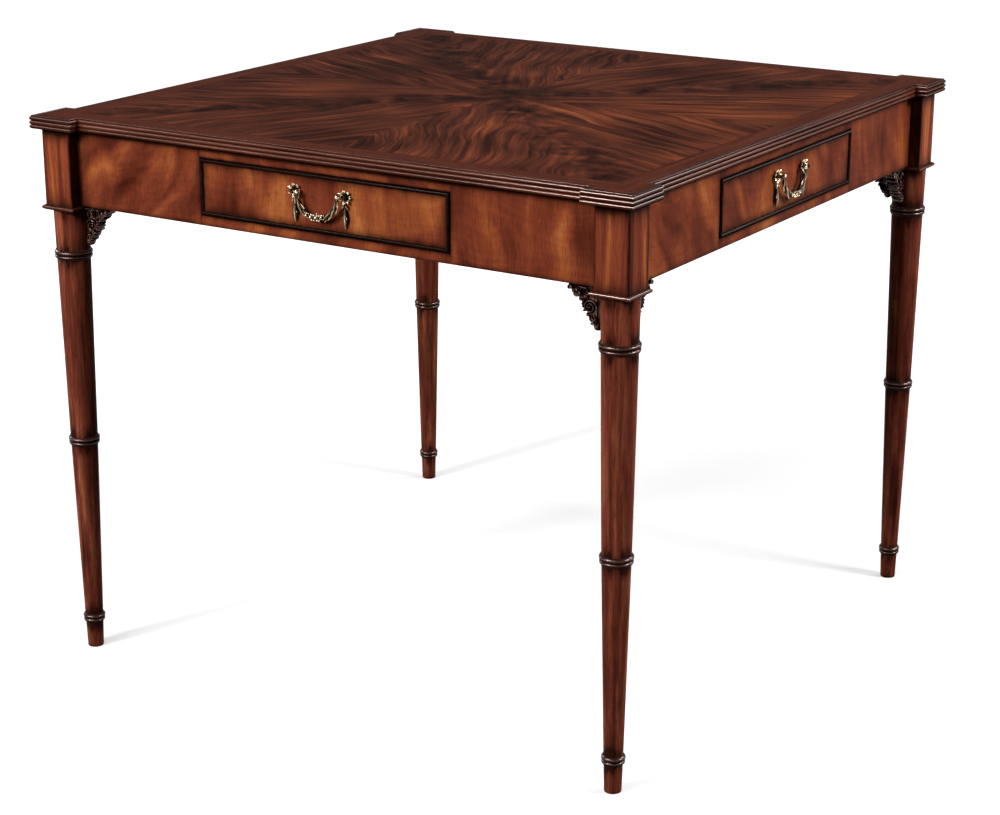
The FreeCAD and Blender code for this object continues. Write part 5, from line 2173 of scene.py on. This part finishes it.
    def build(self) -> None:
        """Make the handles of all drawers."""
        ring_shape = self.petal_ring_shape()
        castings = self.castings(ring_shape)
        bail = self.bail(self.garland_shape(), ring_shape)
        for side in Side:
            for label, mesh, body, node in (
                ("handle_castings", castings, f"drawer_{side.label}", f"drawer_{side.label}_handle_posts"),
                ("garland_bail", bail, f"bail_{side.label}", f"drawer_{side.label}_bail"),
            ):
                copy = mesh.copy()
                copy.transform(side.turn)
                add_piece(f"{label}_{side.label}", copy, FINISHES.brass, body, [node], crease=50)


@dataclass
class Carcass:
    """Parts inside the table, which keep their CAD shapes."""

    upright: tuple[str, ...] = ("corner_blocks", "glue_blocks")
    drawer_parts: tuple[str, ...] = ("guide_rails", "drawer_runners", "drawer_kickers")
    bolts: str = "hanger_bolts"

    def build(self) -> None:
        """Dress the parts."""
        for node in self.upright:
            FINISHES.inside_z.put_on(node)
        for node in self.drawer_parts:
            FINISHES.inside_y.put_on(node)
        FINISHES.steel.put_on(self.bolts)


# The studio

@dataclass(frozen=True)
class SoftBox:
    """A soft studio lamp: its place, width and height in metres, and its power in watts."""

    name: str
    place: Vector
    width: float
    height: float
    power: float


@dataclass
class Studio:
    """Floor, lamps, world and camera."""

    lamps: tuple[SoftBox, ...] = (
        SoftBox("soft_box_left", Vector((-0.8, -3.2, 3.0)), 1.2, 1.2, 62),
        SoftBox("long_box_left", Vector((-2.25, -2.7, 2.2)), 1.5, 0.5, 22),
        SoftBox("strip_box_front", Vector((-1.49, -3.4, 2.4)), 0.3, 1.4, 80),
        SoftBox("wide_box_front", Vector((0.6, -3.9, 2.9)), 2.2, 0.4, 28),
        SoftBox("soft_box_right", Vector((2.9, 0.75, 2.3)), 0.8, 0.9, 90),
        SoftBox("strip_box_back", Vector((1.5, 2.7, 2.1)), 0.25, 1.0, 2.5),
        SoftBox("soft_box_back", Vector((2.3, 3.0, 2.6)), 1.2, 1.2, 45),
        SoftBox("soft_box_far_left", Vector((-3.4, 0.5, 2.0)), 1.0, 1.0, 24),
    )
    aim: Vector = field(default_factory=lambda: Vector((0, 0, 0.5)))
    room_light: float = 0.045
    # Upward slopes of the line of sight between which the wall fades out.
    wall_fade: tuple[float, float] = (0.03, 0.1)
    floor_half: float = 300.0
    # Colour that is seen, and colour of the light that the paper throws up on the table.
    paper: str = "#d4d4d4"
    paper_bounce: str = "#303030"
    # Glow of the paper under the table, and the distances between which it rises to full white.
    paper_glow: float = 0.45
    paper_reach: tuple[float, float] = (0.6, 2.2)
    camera_place: Vector = field(default_factory=lambda: Vector((1.7063, -2.7076, 1.3347)))
    camera_aim: Vector = field(default_factory=lambda: Vector((-0.0076, -0.0048, 0.3115)))
    lens: float = 84.26

    def background_rays(self, tree: Tree) -> Node:
        """Nodes that are 1 for rays that see the background: camera, gloss and glass."""
        light = add_node(tree, "ShaderNodeLightPath")
        seen = add_node(tree, "ShaderNodeMath", {
            0: light.outputs["Is Camera Ray"], 1: light.outputs["Is Glossy Ray"],
        }, operation="MAXIMUM")
        return add_node(tree, "ShaderNodeMath", {
            0: seen, 1: light.outputs["Is Transmission Ray"],
        }, operation="MAXIMUM")

    def add_floor(self) -> None:
        """Pale matt floor, which keeps the table's soft shadow."""
        half = self.floor_half
        corners = [(-half, -half, 0), (half, -half, 0), (half, half, 0), (-half, half, 0)]
        mesh = bpy.data.meshes.new("studio_floor")
        mesh.from_pydata(corners, [], [(0, 1, 2, 3)])
        material = bpy.data.materials.new("pale_matt_paper")
        material.use_nodes = True
        tree = material.node_tree
        shader = tree.nodes["Principled BSDF"]
        seen = self.background_rays(tree)
        # Only what is seen is pale: the light that the floor throws up on the table is that of a grey one.
        paper = add_node(tree, "ShaderNodeMix", {
            0: seen, MIX_A: hex_colour(self.paper_bounce), MIX_B: hex_colour(self.paper),
        }, data_type="RGBA")
        tree.links.new(paper.outputs[MIX_RESULT], shader.inputs["Base Color"])
        shader.inputs["Roughness"].default_value = 0.9
        shader.inputs["Specular IOR Level"].default_value = 0.0
        place = add_node(tree, "ShaderNodeTexCoord").outputs["Object"]
        reach = add_node(tree, "ShaderNodeVectorMath", {0: place}, operation="LENGTH")
        level = add_node(tree, "ShaderNodeMapRange", {
            "Value": reach.outputs["Value"],
            "From Min": self.paper_reach[0], "From Max": self.paper_reach[1],
            "To Min": self.paper_glow, "To Max": 1.0,
        }, clamp=True, interpolation_type="SMOOTHSTEP")
        glow = add_node(tree, "ShaderNodeMath", {0: seen, 1: level}, operation="MULTIPLY")
        shader.inputs["Emission Color"].default_value = (1, 1, 1, 1)
        tree.links.new(glow.outputs[0], shader.inputs["Emission Strength"])
        mesh.materials.append(material)
        floor = bpy.data.objects.new("studio_floor", mesh)
        bpy.context.scene.collection.objects.link(floor)

    def add_world(self) -> None:
        """The dim room round the lamps, seen with a white wall that fades out above the horizon."""
        world = bpy.data.worlds.new("studio_world")
        bpy.context.scene.world = world
        world.use_nodes = True
        tree = world.node_tree
        coordinates = add_node(tree, "ShaderNodeTexCoord")
        way = add_node(tree, "ShaderNodeSeparateXYZ", {0: coordinates.outputs["Generated"]})
        wall = add_node(tree, "ShaderNodeMapRange", {
            "Value": way.outputs["Z"], "From Min": self.wall_fade[0], "From Max": self.wall_fade[1],
            "To Min": 1.0, "To Max": self.room_light,
        }, clamp=True, interpolation_type="SMOOTHSTEP")
        level = add_node(tree, "ShaderNodeMix", {
            0: self.background_rays(tree), 2: self.room_light, 3: wall,
        }, data_type="FLOAT")
        light = tree.nodes["Background"]
        light.inputs["Color"].default_value = (1, 1, 1, 1)
        tree.links.new(level.outputs[0], light.inputs["Strength"])

    def aimed(self, name: str, data: bpy.types.ID, place: Vector, aim: Vector) -> bpy.types.Object:
        """Add a lamp or camera that looks at a point.

        Args:
            name: Name of the object.
            data: The lamp or camera.
            place: Where it stands.
            aim: Where it looks.

        Returns:
            The new object.
        """
        thing = bpy.data.objects.new(name, data)
        thing.location = place
        thing.rotation_euler = (aim - place).to_track_quat("-Z", "Y").to_euler()
        bpy.context.scene.collection.objects.link(thing)
        return thing

    def build(self) -> None:
        """Set up the studio."""
        scene = bpy.context.scene
        scene.view_settings.view_transform = "Standard"
        self.add_floor()
        self.add_world()
        for box in self.lamps:
            lamp = bpy.data.lights.new(box.name, "AREA")
            lamp.energy = box.power
            lamp.shape = "RECTANGLE"
            lamp.size = box.width
            lamp.size_y = box.height
            self.aimed(box.name, lamp, box.place, self.aim)
        camera = bpy.data.cameras.new("camera")
        camera.lens = self.lens
        scene.camera = self.aimed("camera", camera, self.camera_place, self.camera_aim)


def main() -> None:
    """Build the table's pieces and the studio."""
    logging.basicConfig(level=logging.INFO, format="%(name)s: %(message)s")
    sizes = TableSizes()
    for assembly in (
        TableTop(sizes), TurnedLegs(sizes), CarvedBrackets(sizes), Aprons(sizes), Drawers(sizes),
        DrawerHandles(sizes), Carcass(), Studio(),
    ):
        assembly.build()


if __name__ == "__main__":
    main()
